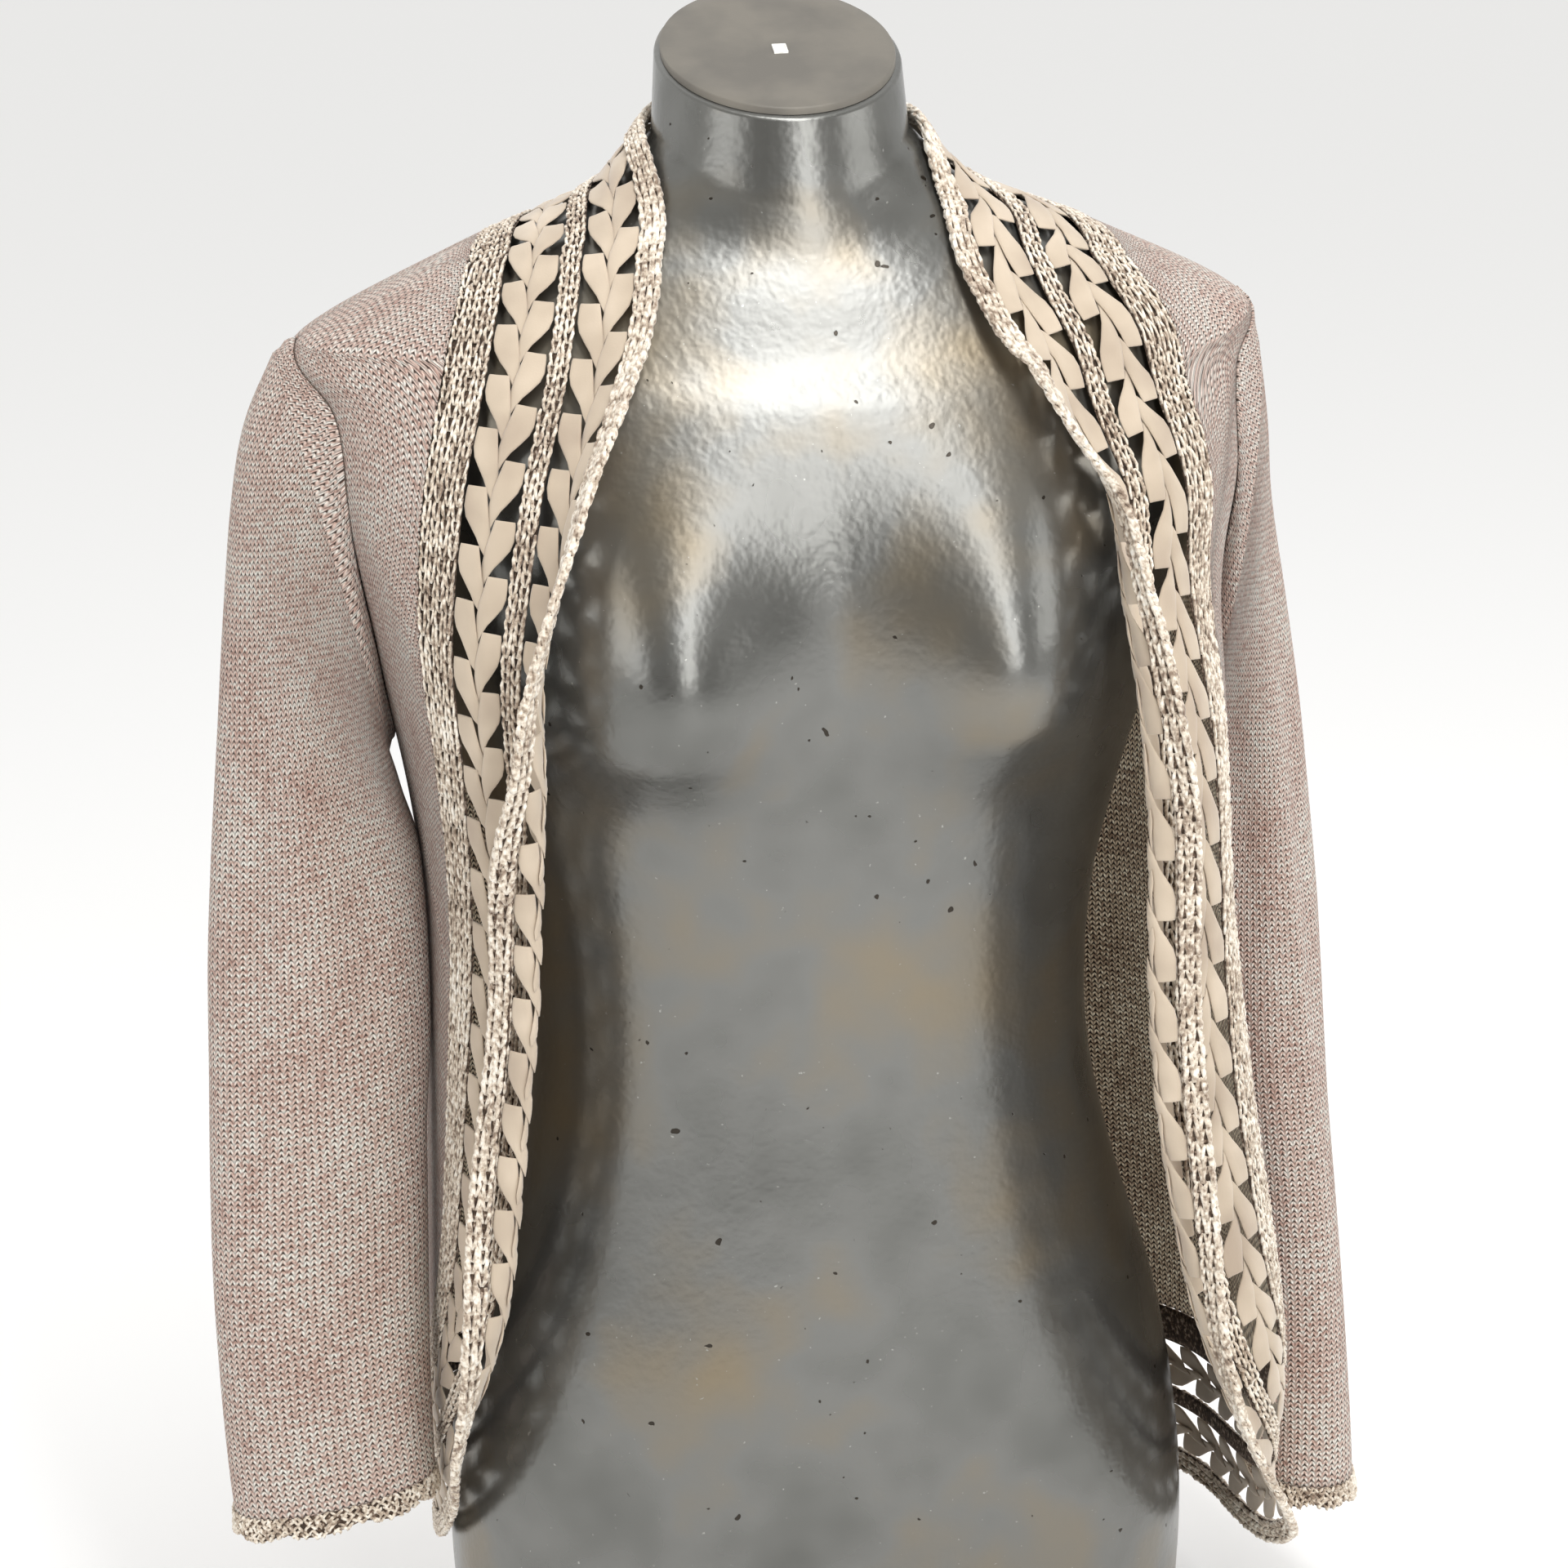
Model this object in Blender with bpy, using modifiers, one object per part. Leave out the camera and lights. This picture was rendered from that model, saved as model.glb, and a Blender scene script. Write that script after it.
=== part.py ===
"""An open-front knitted cardigan worn by a limbless dress form.

The front is -Y and the wearer's left is +X. The origin is the centre of the form's flat base.
One smooth body surface is described by rows of rounded rings. Every sewn piece lies on it or
hangs from it: two fronts, a back, two sleeves with scalloped edgings, and the trim, whose bands
and plaited braids run side by side round the fronts, the neck and the hem.
Tables are in millimetres and degrees; the meshes are in metres.
"""
import math

import bpy
import numpy as np

MM = 0.001

# Cloth
KNIT_THICKNESS = 1.6
BAND_THICKNESS = 2.4
BRAID_THICKNESS = 3.0
EDGE_THICKNESS = 4.0
SEAM_GAP = 0.3

# Trim, as distances inward from the garment's free edge
EDGE_BAND = (0.0, 11.0)
OUTER_BRAID = (11.4, 34.6)
NARROW_BAND = (35.0, 44.0)
INNER_BRAID = (44.4, 67.6)
WIDE_BAND = (68.0, 86.0)
TRIM_WIDTH = 86.4
GUIDE_LINE = 35.0
BRAID_NOTCH = 5.5
ROLLED_COLUMNS = (18.5, 23.0, 27.5)

# The free edge rolls outward over the outer braid
ROLL_START = 31.0
ROLL_LENGTH = 14.0
ROLL_SOFT_ANGLE = 40.0

# Armhole
UNDERARM_ROW = 4.53
SHOULDER_TIP_ROW = 8.0
ARMHOLE_HALF_ANGLE = 14.0
ARMHOLE_ROUNDNESS = 0.65
ARMHOLE_STEPS = 12
SIDE_SEAM_STEPS = 12
SHOULDER_STEPS = 5

# Cuff edging
EDGING_LENGTH = 11.0
EDGING_FLARE = 1.5
SCALLOPS = 9
SCALLOP_DEPTH = 3.0
POINTS_PER_SCALLOP = 4

# Panel columns
FRONT_COLUMNS = 5
BACK_COLUMNS = 12

# Dress form
FORM_SEGMENTS = 32
FORM_EXTRA_RINGS = (8.2, 8.4, 8.6, 8.8, 9.3, 9.65, 11.5, 12.5, 13.5, 14.5)
BUST_HEIGHT = 503.0
BUST_SPREAD = 78.0
BUST_ABOVE = 70.0
BUST_BELOW = 32.0
BUST_ASIDE = 45.0
BUST_RISE = 31.0
CAP_TILT = 24.0
CAP_CENTRE_HEIGHT = 768.0
CAP_THICKNESS = 3.0
CAP_INSET = 2.5

# Body surface: heights in front, at the side and at the back, half width, depths, roundness, shift
#   z_front z_side z_back width front back power shift left_front_power
BODY_ROWS = (
    (45, 45, 45, 192, 132, 124, 3.0, 13, 4.0),
    (120, 120, 120, 192, 132, 122, 3.0, 13, 4.5),
    (200, 200, 200, 191, 132, 117, 3.0, 13, 6.0),
    (330, 330, 330, 179, 129, 106, 2.8, 7, 7.0),
    (430, 430, 430, 174, 129, 106, 2.6, 3, 6.5),
    (525, 525, 525, 186, 131, 112, 2.5, -1, 3.0),
    (590, 590, 590, 203, 117, 116, 2.4, -3, 2.4),
    (630, 630, 634, 208, 98, 110, 2.3, -4, 2.3),
    (650, 657, 668, 207, 83, 98, 2.2, -4, 2.2),
    (676, 690, 702, 142, 70, 80, 2.1, -3, 2.1),
    (696, 714, 726, 84, 61, 65, 2.0, -1, 2.0),
    (714, 741, 754, 59, 57, 59, 2.0, 0, 2.0),
)

# Guide line of the trim, 35 mm in from the free edge: angle from the front, height, roll of the edge
#   angle height roll
LEFT_FRONT_GUIDE = (
    (90, 94, 0),
    (76, 105, 6),
    (64.7, 129, 34),
    (55.5, 165, 66),
    (49.8, 214, 95),
    (47.1, 277, 135),
    (46, 331, 168),
    (45.9, 384, 180),
    (46.7, 442, 160),
    (47.9, 499, 115),
    (50.4, 540, 92),
    (52.8, 589, 72),
    (53.2, 620, 52),
    (56, 647, 30),
    (58.5, 672, 14),
    (63, 690, 4),
    (74, 704, 0),
    (90, 715, 0),
)
NECK_GUIDE = (
    (112, 717, 0),
    (135, 718, 0),
    (180, 721, 0),
    (225, 718, 0),
    (248, 717, 0),
)
RIGHT_FRONT_GUIDE = (
    (90, 715, 0),
    (77, 709.5, 0),
    (67, 701, 3),
    (60, 688, 10),
    (55.5, 671, 20),
    (52.4, 650, 38),
    (50.2, 620, 55),
    (49.7, 592, 68),
    (50.2, 563, 80),
    (51.6, 530, 90),
    (52.6, 491, 108),
    (54, 455, 142),
    (55.3, 420, 172),
    (56.5, 376, 180),
    (58.9, 320, 168),
    (60.6, 282, 140),
    (63, 242, 105),
    (66, 217, 74),
    (71.5, 187, 38),
    (79, 159, 8),
    (90, 131, 0),
)
HEM_GUIDE = (
    (255, 113, 0),
    (225, 102, 0),
    (180, 94, 0),
    (135, 89, 0),
    (105, 89, 0),
)

# Trim steps along each section, two for every pitch of the braid
LEFT_FRONT_STEPS = 56
NECK_STEPS = 18
RIGHT_FRONT_STEPS = 56
HEM_STEPS = 40

# Sleeve rings from armhole to cuff: outer point, gap of the inner point from the body, depth, set forward
#   outer_x outer_z gap inner_z depth forward
LEFT_SLEEVE_ROWS = (
    (209, 644, 6, 474, 44, -2),
    (214, 610, 5, 466, 43, -4),
    (218, 570, 4, 452, 42, -7),
    (227, 520, 4, 430, 41, -10),
    (235, 470, 4, 402, 41, -12),
    (241, 420, 4, 370, 41, -14),
    (246, 370, 4, 335, 41, -15),
    (249, 320, 4, 298, 41, -16),
    (252, 270, 4, 256, 41, -16),
    (256, 218, 4, 210, 40, -14),
    (259, 164, 4, 160, 38, -8),
    (261, 116, 6, 118, 35, -2),
    (261, 84, 8, 88, 33, 4),
)
RIGHT_SLEEVE_ROWS = (
    (221, 651, 6, 474, 44, -1),
    (235, 623, 5, 466, 42, 3),
    (243, 590, 4, 455, 39, 7),
    (250, 540, 4, 438, 36, 10),
    (256, 490, 4, 415, 34, 14),
    (262, 440, 4, 385, 32, 17),
    (267, 390, 4, 348, 30, 20),
    (270, 340, 4, 310, 29, 23),
    (273, 290, 4, 272, 28, 26),
    (275, 240, 4, 230, 28, 30),
    (275, 190, 4, 190, 28, 34),
    (274, 154, 4, 164, 27, 37),
    (273, 137, 4, 149, 26, 39),
)

# Long soft folds of the sleeves: place round the ring, depth, spread round the ring, upper and lower end
#   place depth spread top bottom
SLEEVE_FOLDS = (
    (38, 5.0, 17, 600, 250),
    (-18, 3.5, 15, 520, 330),
    (150, 4.5, 18, 590, 300),
    (212, 3.5, 15, 420, 180),
)

# Dress form: heights in front, at the side and at the back, half width, depths, roundness
#   z_front z_side z_back width front back power
FORM_ROWS = (
    (0, 0, 0, 167, 106, 110, 2.4),
    (45, 45, 45, 171, 110, 114, 2.4),
    (90, 90, 90, 173, 112, 114, 2.4),
    (140, 140, 140, 170, 112, 109, 2.4),
    (200, 200, 200, 160, 109, 101, 2.4),
    (265, 265, 265, 141, 103, 89, 2.3),
    (330, 330, 330, 129, 97, 80, 2.3),
    (395, 395, 395, 132, 96, 82, 2.3),
    (455, 455, 455, 147, 101, 91, 2.3),
    (525, 525, 525, 168, 110, 102, 2.4),
    (588, 588, 588, 190, 105, 111, 2.4),
    (628, 628, 632, 199, 92, 103, 2.3),
    (647, 653.5, 663, 198, 80, 91, 2.15),
    (673, 686.5, 698.5, 139.5, 68, 76, 2.05),
    (692.5, 711.7, 723, 81, 59, 61, 2.0),
    (712, 737, 749, 55.4, 53, 53, 2.0),
)

# Colour, roughness, metallic
FINISHES = {
    "pink_melange_knit": ((0.60, 0.45, 0.40), 0.9, 0.0),
    "cream_slub_crochet": ((0.66, 0.58, 0.47), 0.9, 0.0),
    "taupe_jersey_strip": ((0.50, 0.41, 0.33), 0.85, 0.0),
    "silver_lacquer": ((0.42, 0.42, 0.42), 0.3, 0.8),
    "matt_grey_cap": ((0.25, 0.24, 0.23), 0.6, 0.2),
}

COLLECTION = "open_front_cardigan"


def blend_rows(rows, place):
    """Read a table of rows at a fractional place, smoothly through its rows."""
    last = len(rows) - 1
    i = int(min(max(math.floor(place), 0), last - 1))
    f = place - i
    before = rows[i - 1] if i > 0 else 2 * rows[0] - rows[1]
    after = rows[i + 2] if i + 2 <= last else 2 * rows[last] - rows[last - 1]
    slope_a = (rows[i + 1] - before) / 2
    slope_b = (after - rows[i]) / 2
    return (
        (2 * f**3 - 3 * f**2 + 1) * rows[i]
        + (f**3 - 2 * f**2 + f) * slope_a
        + (3 * f**2 - 2 * f**3) * rows[i + 1]
        + (f**3 - f**2) * slope_b
    )


BODY = np.array(BODY_ROWS, float)
SLEEVES = {1: np.array(LEFT_SLEEVE_ROWS, float), -1: np.array(RIGHT_SLEEVE_ROWS, float)}


def body_point(angle, row):
    """A point of the body surface, in millimetres: angle from the front towards +X, row up the table."""
    z_front, z_side, z_back, width, front, back, power, shift, left_front_power = blend_rows(BODY, row)
    s, c = math.sin(angle), math.cos(angle)
    depth, z_end = (front, z_front) if c > 0 else (back, z_back)
    if s > 0 and c > 0:
        power = left_front_power
    reach = ((abs(s) / width) ** power + (abs(c) / depth) ** power) ** (-1 / power)
    return np.array((reach * s + shift, -reach * c, z_side * s * s + z_end * c * c))


def body_slopes(angle, row):
    """How the body surface runs round the body and up it."""
    h = 1e-4
    around = (body_point(angle + h, row) - body_point(angle - h, row)) / (2 * h)
    upward = (body_point(angle, row + h) - body_point(angle, row - h)) / (2 * h)
    return around, upward


def unit(vector):
    return vector / np.linalg.norm(vector)


def body_normal(angle, row):
    around, upward = body_slopes(angle, row)
    return unit(np.cross(around, upward))


def row_at_height(angle, height):
    low, high = -0.4, len(BODY) - 0.6
    for _ in range(40):
        middle = (low + high) / 2
        if body_point(angle, middle)[2] < height:
            low = middle
        else:
            high = middle
    return (low + high) / 2


def guide_knots():
    """The closed guide line as angle, row and roll, and the knot where each section starts."""
    left = list(LEFT_FRONT_GUIDE)
    right = [(360 - angle, height, roll) for angle, height, roll in RIGHT_FRONT_GUIDE]
    table = left + list(NECK_GUIDE) + right + list(HEM_GUIDE)
    knots = []
    for angle, height, roll in table:
        turn = math.radians(angle)
        knots.append((turn, row_at_height(turn, height), roll))
    starts = (0, len(left) - 1, len(left) + len(NECK_GUIDE), len(left) + len(NECK_GUIDE) + len(right) - 1)
    return np.array(knots), starts


def trace_guide(spacing=2.0):
    """Sample the smooth closed guide line, with its length along it and the length at each section."""
    knots, starts = guide_knots()
    count = len(knots)
    places = [body_point(a, r) for a, r, _ in knots]
    gaps = [float(np.linalg.norm(places[(i + 1) % count] - places[i])) for i in range(count)]
    slopes = []
    for i in range(count):
        ahead = (knots[(i + 1) % count] - knots[i]) / gaps[i]
        behind = (knots[i] - knots[i - 1]) / gaps[i - 1]
        slopes.append((ahead * gaps[i - 1] + behind * gaps[i]) / (gaps[i] + gaps[i - 1]))
    samples, section_samples = [], []
    for i in range(count):
        if i in starts:
            section_samples.append(len(samples))
        pieces = max(2, int(gaps[i] / spacing))
        for k in range(pieces):
            f = k / pieces
            samples.append(
                (2 * f**3 - 3 * f**2 + 1) * knots[i]
                + (f**3 - 2 * f**2 + f) * gaps[i] * slopes[i]
                + (3 * f**2 - 2 * f**3) * knots[(i + 1) % count]
                + (f**3 - f**2) * gaps[i] * slopes[(i + 1) % count]
            )
    samples.append(samples[0].copy())
    samples = np.array(samples)
    points = np.array([body_point(a, r) for a, r, _ in samples])
    lengths = np.concatenate(([0.0], np.cumsum(np.linalg.norm(np.diff(points, axis=0), axis=1))))
    bounds = [lengths[i] for i in section_samples] + [lengths[-1]]
    return samples, lengths, bounds


def march(angle, row, direction, distance, step=3.0):
    """Walk straight over the body surface and list each place passed: distance, angle, row."""
    count = max(1, math.ceil(distance / step))
    path = [(0.0, angle, row)]
    for k in range(count):
        around, upward = body_slopes(angle, row)
        basis = np.column_stack((around, upward))
        move = np.linalg.lstsq(basis, direction * distance / count, rcond=None)[0]
        angle, row = angle + move[0], row + move[1]
        normal = body_normal(angle, row)
        direction = unit(direction - normal * (direction @ normal))
        path.append((distance * (k + 1) / count, angle, row))
    return path


class Station:
    """One cross-section of the trim, at a length along the guide line."""

    def __init__(self, samples, lengths, length, shift=0.0):
        here = [np.interp(length, lengths, samples[:, k]) for k in range(3)]
        ahead = [np.interp((length + 2) % lengths[-1], lengths, samples[:, k]) for k in range(2)]
        behind = [np.interp((length - 2) % lengths[-1], lengths, samples[:, k]) for k in range(2)]
        tangent = unit(body_point(*ahead) - body_point(*behind))
        normal = body_normal(here[0], here[1])
        inward = unit(np.cross(tangent, normal))
        inner = march(here[0], here[1], inward, TRIM_WIDTH - GUIDE_LINE)
        outer = march(here[0], here[1], -inward, GUIDE_LINE)
        places = [(GUIDE_LINE - d, a, r) for d, a, r in reversed(outer)]
        places += [(GUIDE_LINE + d, a, r) for d, a, r in inner[1:]]
        self.places = np.array(places)
        self.roll = math.radians(here[2])
        self.shift = tangent * shift
        self.hinge, self.hinge_normal = self.flat(ROLL_START)
        self.outward = unit(self.hinge - self.flat(ROLL_START + 2)[0])

    def surface(self, width):
        angle = float(np.interp(width, self.places[:, 0], self.places[:, 1]))
        row = float(np.interp(width, self.places[:, 0], self.places[:, 2]))
        return angle, row

    def flat(self, width):
        angle, row = self.surface(width)
        return body_point(angle, row), body_normal(angle, row)

    def point(self, width, height=0.0):
        """Where the trim lies at this distance from the free edge, and this height off its middle."""
        place, normal = self.flat(width)
        past = ROLL_START - width
        if past <= 0 or self.roll < 0.01:
            return place + normal * height + self.shift
        share = min(1.0, self.roll / math.radians(ROLL_SOFT_ANGLE))
        share = share * share * (3 - 2 * share)
        straight = self.hinge + self.outward * past
        turn = self.roll * min(1.0, past / ROLL_LENGTH)
        radius = ROLL_LENGTH / self.roll
        tail = max(0.0, past - ROLL_LENGTH)
        out = radius * math.sin(turn) + tail * math.cos(turn) - past
        rise = radius * (1 - math.cos(turn)) + tail * math.sin(turn)
        place = (1 - share) * place + share * straight + self.outward * out + self.hinge_normal * rise
        upright = unit((1 - share) * normal + share * self.hinge_normal)
        return place + unit(upright * math.cos(turn) - self.outward * math.sin(turn)) * height + self.shift


def section_stations(samples, lengths, start, end, steps):
    """Evenly spaced stations; the end ones are drawn in by half the seam gap."""
    stations = []
    for k in range(steps + 1):
        shift = SEAM_GAP / 2 * ((k == 0) - (k == steps))
        stations.append(Station(samples, lengths, start + (end - start) * k / steps, shift))
    return stations


def even_stations(steps):
    return list(range(0, steps + 1, 2))


def odd_stations(steps):
    return [0] + list(range(1, steps, 2)) + [steps]


def make_material(name):
    colour, roughness, metallic = FINISHES[name]
    material = bpy.data.materials.new(name)
    material.use_nodes = True
    shader = material.node_tree.nodes["Principled BSDF"]
    shader.inputs["Base Color"].default_value = (*colour, 1)
    shader.inputs["Roughness"].default_value = roughness
    shader.inputs["Metallic"].default_value = metallic
    return material


def add_object(name, points, faces, material, thickness=None):
    """A named object from points in millimetres; a thickness makes an open surface a wall."""
    mesh = bpy.data.meshes.new(name)
    mesh.from_pydata([tuple(p * MM) for p in points], [], faces)
    mesh.materials.append(material)
    mesh.shade_smooth()
    piece = bpy.data.objects.new(name, mesh)
    bpy.data.collections[COLLECTION].objects.link(piece)
    if thickness:
        wall = piece.modifiers.new("wall", "SOLIDIFY")
        wall.thickness = thickness * MM
        wall.offset = 0
        wall.use_even_offset = False
    return piece


def tube_faces(rings, count, turned=False):
    """Faces of a tube between rings of equal count."""
    faces = []
    for i in range(rings - 1):
        for j in range(count):
            a, b = i * count + j, i * count + (j + 1) % count
            quad = (a, b, b + count, a + count)
            faces.append(quad[::-1] if turned else quad)
    return faces


def add_strip(name, sections, thickness, material):
    """A strip of the trim: each section is a station with its distances from the free edge."""
    points = []
    for station, widths in sections:
        points += [station.point(w, thickness / 2) for w in widths]
        points += [station.point(w, -thickness / 2) for w in reversed(widths)]
    count = 2 * len(sections[0][1])
    half = count // 2
    faces = tube_faces(len(sections), count)
    first = (len(sections) - 1) * count
    for j in range(half - 1):
        a, b = j, count - 1 - j
        faces.append((b, b - 1, a + 1, a))
        faces.append((first + a, first + a + 1, first + b - 1, first + b))
    add_object(name, points, faces, material)


def make_band(name, stations, chosen, widths, thickness, material):
    add_strip(name, [(stations[i], widths) for i in chosen], thickness, material)


def braid_widths(span, rolled, touches_inside):
    """Distances across a braid; its leaves reach one side at a time, so each side is notched in turn."""
    outer, inner = span
    if touches_inside:
        outer += BRAID_NOTCH
    else:
        inner -= BRAID_NOTCH
    if not rolled:
        return (outer, (span[0] + span[1]) / 2, inner)
    return (outer, *ROLLED_COLUMNS, inner)


def make_braid(name, stations, span, rolled, inner_on_even, material):
    sections = []
    for i, station in enumerate(stations):
        touches_inside = (i % 2 == 0) == inner_on_even
        sections.append((station, braid_widths(span, rolled, touches_inside)))
    add_strip(name, sections, BRAID_THICKNESS, material)


def seam_shift(angle, row):
    """Half the seam gap, as an angle round the body."""
    around, _ = body_slopes(angle, row)
    return SEAM_GAP / 2 / float(np.linalg.norm(around))


def armhole_place(side_angle, step, toward):
    """A place on the armhole: steps from underarm to shoulder tip, towards the front or back panel."""
    f = step / ARMHOLE_STEPS
    row = UNDERARM_ROW + (SHOULDER_TIP_ROW - UNDERARM_ROW) * f
    spread = math.radians(ARMHOLE_HALF_ANGLE) * math.sin(math.pi * f) ** ARMHOLE_ROUNDNESS if 0 < f < 1 else 0.0
    return side_angle + toward * (spread + seam_shift(side_angle, row)), row


def side_line(side_angle, toward, hem_place, neck_place):
    """The panel's edge from the hem trim up the side seam, round the armhole and along the shoulder."""
    line = []
    for k in range(SIDE_SEAM_STEPS):
        f = k / SIDE_SEAM_STEPS
        row = hem_place[1] + (UNDERARM_ROW - hem_place[1]) * f
        ease = 1 - min(1.0, 2 * f)
        angle = side_angle + (hem_place[0] - side_angle) * ease**2
        line.append((angle + toward * seam_shift(side_angle, row), row))
    line += [armhole_place(side_angle, k, toward) for k in range(ARMHOLE_STEPS)]
    for k in range(SHOULDER_STEPS + 1):
        f = k / SHOULDER_STEPS
        row = SHOULDER_TIP_ROW + (neck_place[1] - SHOULDER_TIP_ROW) * f
        angle = side_angle + (neck_place[0] - side_angle) * f**2
        line.append((angle + toward * seam_shift(side_angle, row), row))
    return line


def make_front(name, inner_line, outer_line, material):
    """A front whose two edges meet in a point at the side seam's foot and at the shoulder."""
    last = len(inner_line) - 1
    inner_line = [outer_line[0]] + inner_line[1:-1] + [outer_line[-1]]
    points, index = [], {}
    for i, (inner, outer) in enumerate(zip(inner_line, outer_line)):
        for j in range(FRONT_COLUMNS + 1):
            if i in (0, last) and j > 0:
                index[i, j] = index[i, 0]
                continue
            f = j / FRONT_COLUMNS
            angle = inner[0] + (outer[0] - inner[0]) * f
            row = inner[1] + (outer[1] - inner[1]) * f
            index[i, j] = len(points)
            points.append(body_point(angle, row))
    faces = []
    for i in range(last):
        for j in range(FRONT_COLUMNS):
            corners = (index[i, j], index[i, j + 1], index[i + 1, j + 1], index[i + 1, j])
            faces.append(tuple(dict.fromkeys(corners)))
    add_object(name, points, faces, material, KNIT_THICKNESS)


def sample_line(line, share):
    spot = share * (len(line) - 1)
    i = min(int(spot), len(line) - 2)
    f = spot - i
    return tuple(line[i][k] + (line[i + 1][k] - line[i][k]) * f for k in range(2))


def stitch_rows(lower, upper):
    """Triangles between two rows of points that have unlike numbers of points."""
    faces, i, j = [], 0, 0
    while i < len(lower) - 1 or j < len(upper) - 1:
        next_i = (i + 1) / (len(lower) - 1)
        next_j = (j + 1) / (len(upper) - 1)
        if j == len(upper) - 1 or (i < len(lower) - 1 and next_i <= next_j):
            faces.append((lower[i], lower[i + 1], upper[j]))
            i += 1
        else:
            faces.append((lower[i], upper[j + 1], upper[j]))
            j += 1
    return faces


def make_back(name, left, right, hem, neck, material):
    """The back, stretched between its side lines, the hem trim below and the neck trim above."""
    rows = len(left)
    points = [body_point(*place) for place in hem]
    grid = [list(range(len(hem)))]
    for i in range(1, rows - 1):
        v = i / (rows - 1)
        line = []
        for j in range(BACK_COLUMNS + 1):
            u = j / BACK_COLUMNS
            low, high = sample_line(hem, u), sample_line(neck, u)
            place = []
            for k in range(2):
                sides = (1 - u) * left[i][k] + u * right[i][k]
                ends = (1 - v) * low[k] + v * high[k]
                corners = (1 - v) * ((1 - u) * hem[0][k] + u * hem[-1][k])
                corners += v * ((1 - u) * neck[0][k] + u * neck[-1][k])
                place.append(sides + ends - corners)
            line.append(len(points))
            points.append(body_point(*place))
        grid.append(line)
    grid.append(list(range(len(points), len(points) + len(neck))))
    points += [body_point(*place) for place in neck]
    faces = []
    for lower, upper in zip(grid, grid[1:]):
        faces += stitch_rows(lower, upper)
    add_object(name, points, faces, material, KNIT_THICKNESS)


def sleeve_place(step, count):
    """Angle round a sleeve ring: from the underarm up the front to the top and down the back."""
    return math.radians(-90 + 360 * step / count)


def sleeve_ring(side, place, count):
    """A ring of the sleeve at a fractional row of its table, with the long folds pressed in."""
    outer_x, outer_z, gap, inner_z, depth, forward = blend_rows(SLEEVES[side], place)
    side_angle = math.radians(90 if side > 0 else 270)
    body_side = body_point(side_angle, row_at_height(side_angle, inner_z))[0]
    outer = np.array((side * outer_x, -forward, outer_z))
    inner = np.array((body_side + side * gap, -forward, inner_z))
    centre, reach = (outer + inner) / 2, (outer - inner) / 2
    ring = []
    for k in range(count):
        turn = sleeve_place(k, count)
        s, c = math.sin(turn), math.cos(turn)
        lobe = np.array((0, -depth * math.copysign(abs(c) ** 0.9, c), 0))
        spoke = reach * math.copysign(abs(s) ** 0.9, s) + lobe
        height = (centre + spoke)[2]
        press = 0.0
        for at, fold_depth, spread, top, bottom in SLEEVE_FOLDS:
            away = (math.degrees(turn) - at + 180) % 360 - 180
            middle, half = (top + bottom) / 2, (top - bottom) / 2
            along = max(0.0, 1 - ((height - middle) / half) ** 2)
            press += fold_depth * along * math.exp(-((away / spread) ** 2))
        ring.append(centre + spoke * (1 - press / float(np.linalg.norm(spoke))))
    return ring


def armhole_ring(side):
    """The sleeve's first ring, on the armhole and just clear of the panels' faces and edges."""
    side_angle = math.radians(90 if side > 0 else 270)
    middle = body_point(side_angle, (SHOULDER_TIP_ROW + UNDERARM_ROW) / 2)
    ring = []
    for k in range(2 * ARMHOLE_STEPS):
        step = k if k <= ARMHOLE_STEPS else 2 * ARMHOLE_STEPS - k
        toward = -side if k <= ARMHOLE_STEPS else side
        angle, row = armhole_place(side_angle, step, toward)
        if k % ARMHOLE_STEPS == 0:
            angle = side_angle
        place, normal = body_point(angle, row), body_normal(angle, row)
        away = middle - place
        away = unit(away - normal * (away @ normal))
        ring.append(place + normal * (KNIT_THICKNESS + SEAM_GAP) + away * SEAM_GAP)
    return ring


def make_sleeve(name, side, material):
    count = 2 * ARMHOLE_STEPS
    rings = [armhole_ring(side)]
    rings += [sleeve_ring(side, k, count) for k in range(len(SLEEVES[side]))]
    points = [p for ring in rings for p in ring]
    add_object(name, points, tube_faces(len(rings), count, side > 0), material, KNIT_THICKNESS)


def make_edging(name, side, material):
    """The scalloped crochet edging at the cuff, a short flared ring below the sleeve's last ring."""
    count = SCALLOPS * POINTS_PER_SCALLOP
    last = len(SLEEVES[side]) - 1
    end, before = sleeve_ring(side, last, count), sleeve_ring(side, last - 0.5, count)
    centre = sum(end) / count
    points = []
    for share in (0, 1):
        for k in range(count):
            down = unit(end[k] - before[k])
            outward = unit(end[k] - centre)
            drop = SCALLOP_DEPTH * abs(math.sin(math.pi * k / POINTS_PER_SCALLOP))
            reach = SEAM_GAP + share * (EDGING_LENGTH - SCALLOP_DEPTH + drop)
            points.append(end[k] + down * reach + outward * EDGING_FLARE * share)
    add_object(name, points, tube_faces(2, count, side > 0), material, BAND_THICKNESS)


def form_point(turn, row):
    """A point of the dress form's surface; two soft rises round out the chest."""
    z_front, z_side, z_back, width, front, back, power = row
    s, c = math.sin(turn), math.cos(turn)
    depth, z_end = (front, z_front) if c > 0 else (back, z_back)
    z = z_side * s * s + z_end * c * c
    reach = ((abs(s) / width) ** power + (abs(c) / depth) ** power) ** (-1 / power)
    x, y = reach * s, -reach * c
    if c > 0:
        tall = BUST_ABOVE if z > BUST_HEIGHT else BUST_BELOW
        rise = math.exp(-(((abs(x) - BUST_SPREAD) / BUST_ASIDE) ** 2) - ((z - BUST_HEIGHT) / tall) ** 2)
        y -= BUST_RISE * rise
    return np.array((x, y, z))


def cap_height(y, centre_height):
    return centre_height + y * math.tan(math.radians(CAP_TILT))


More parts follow.
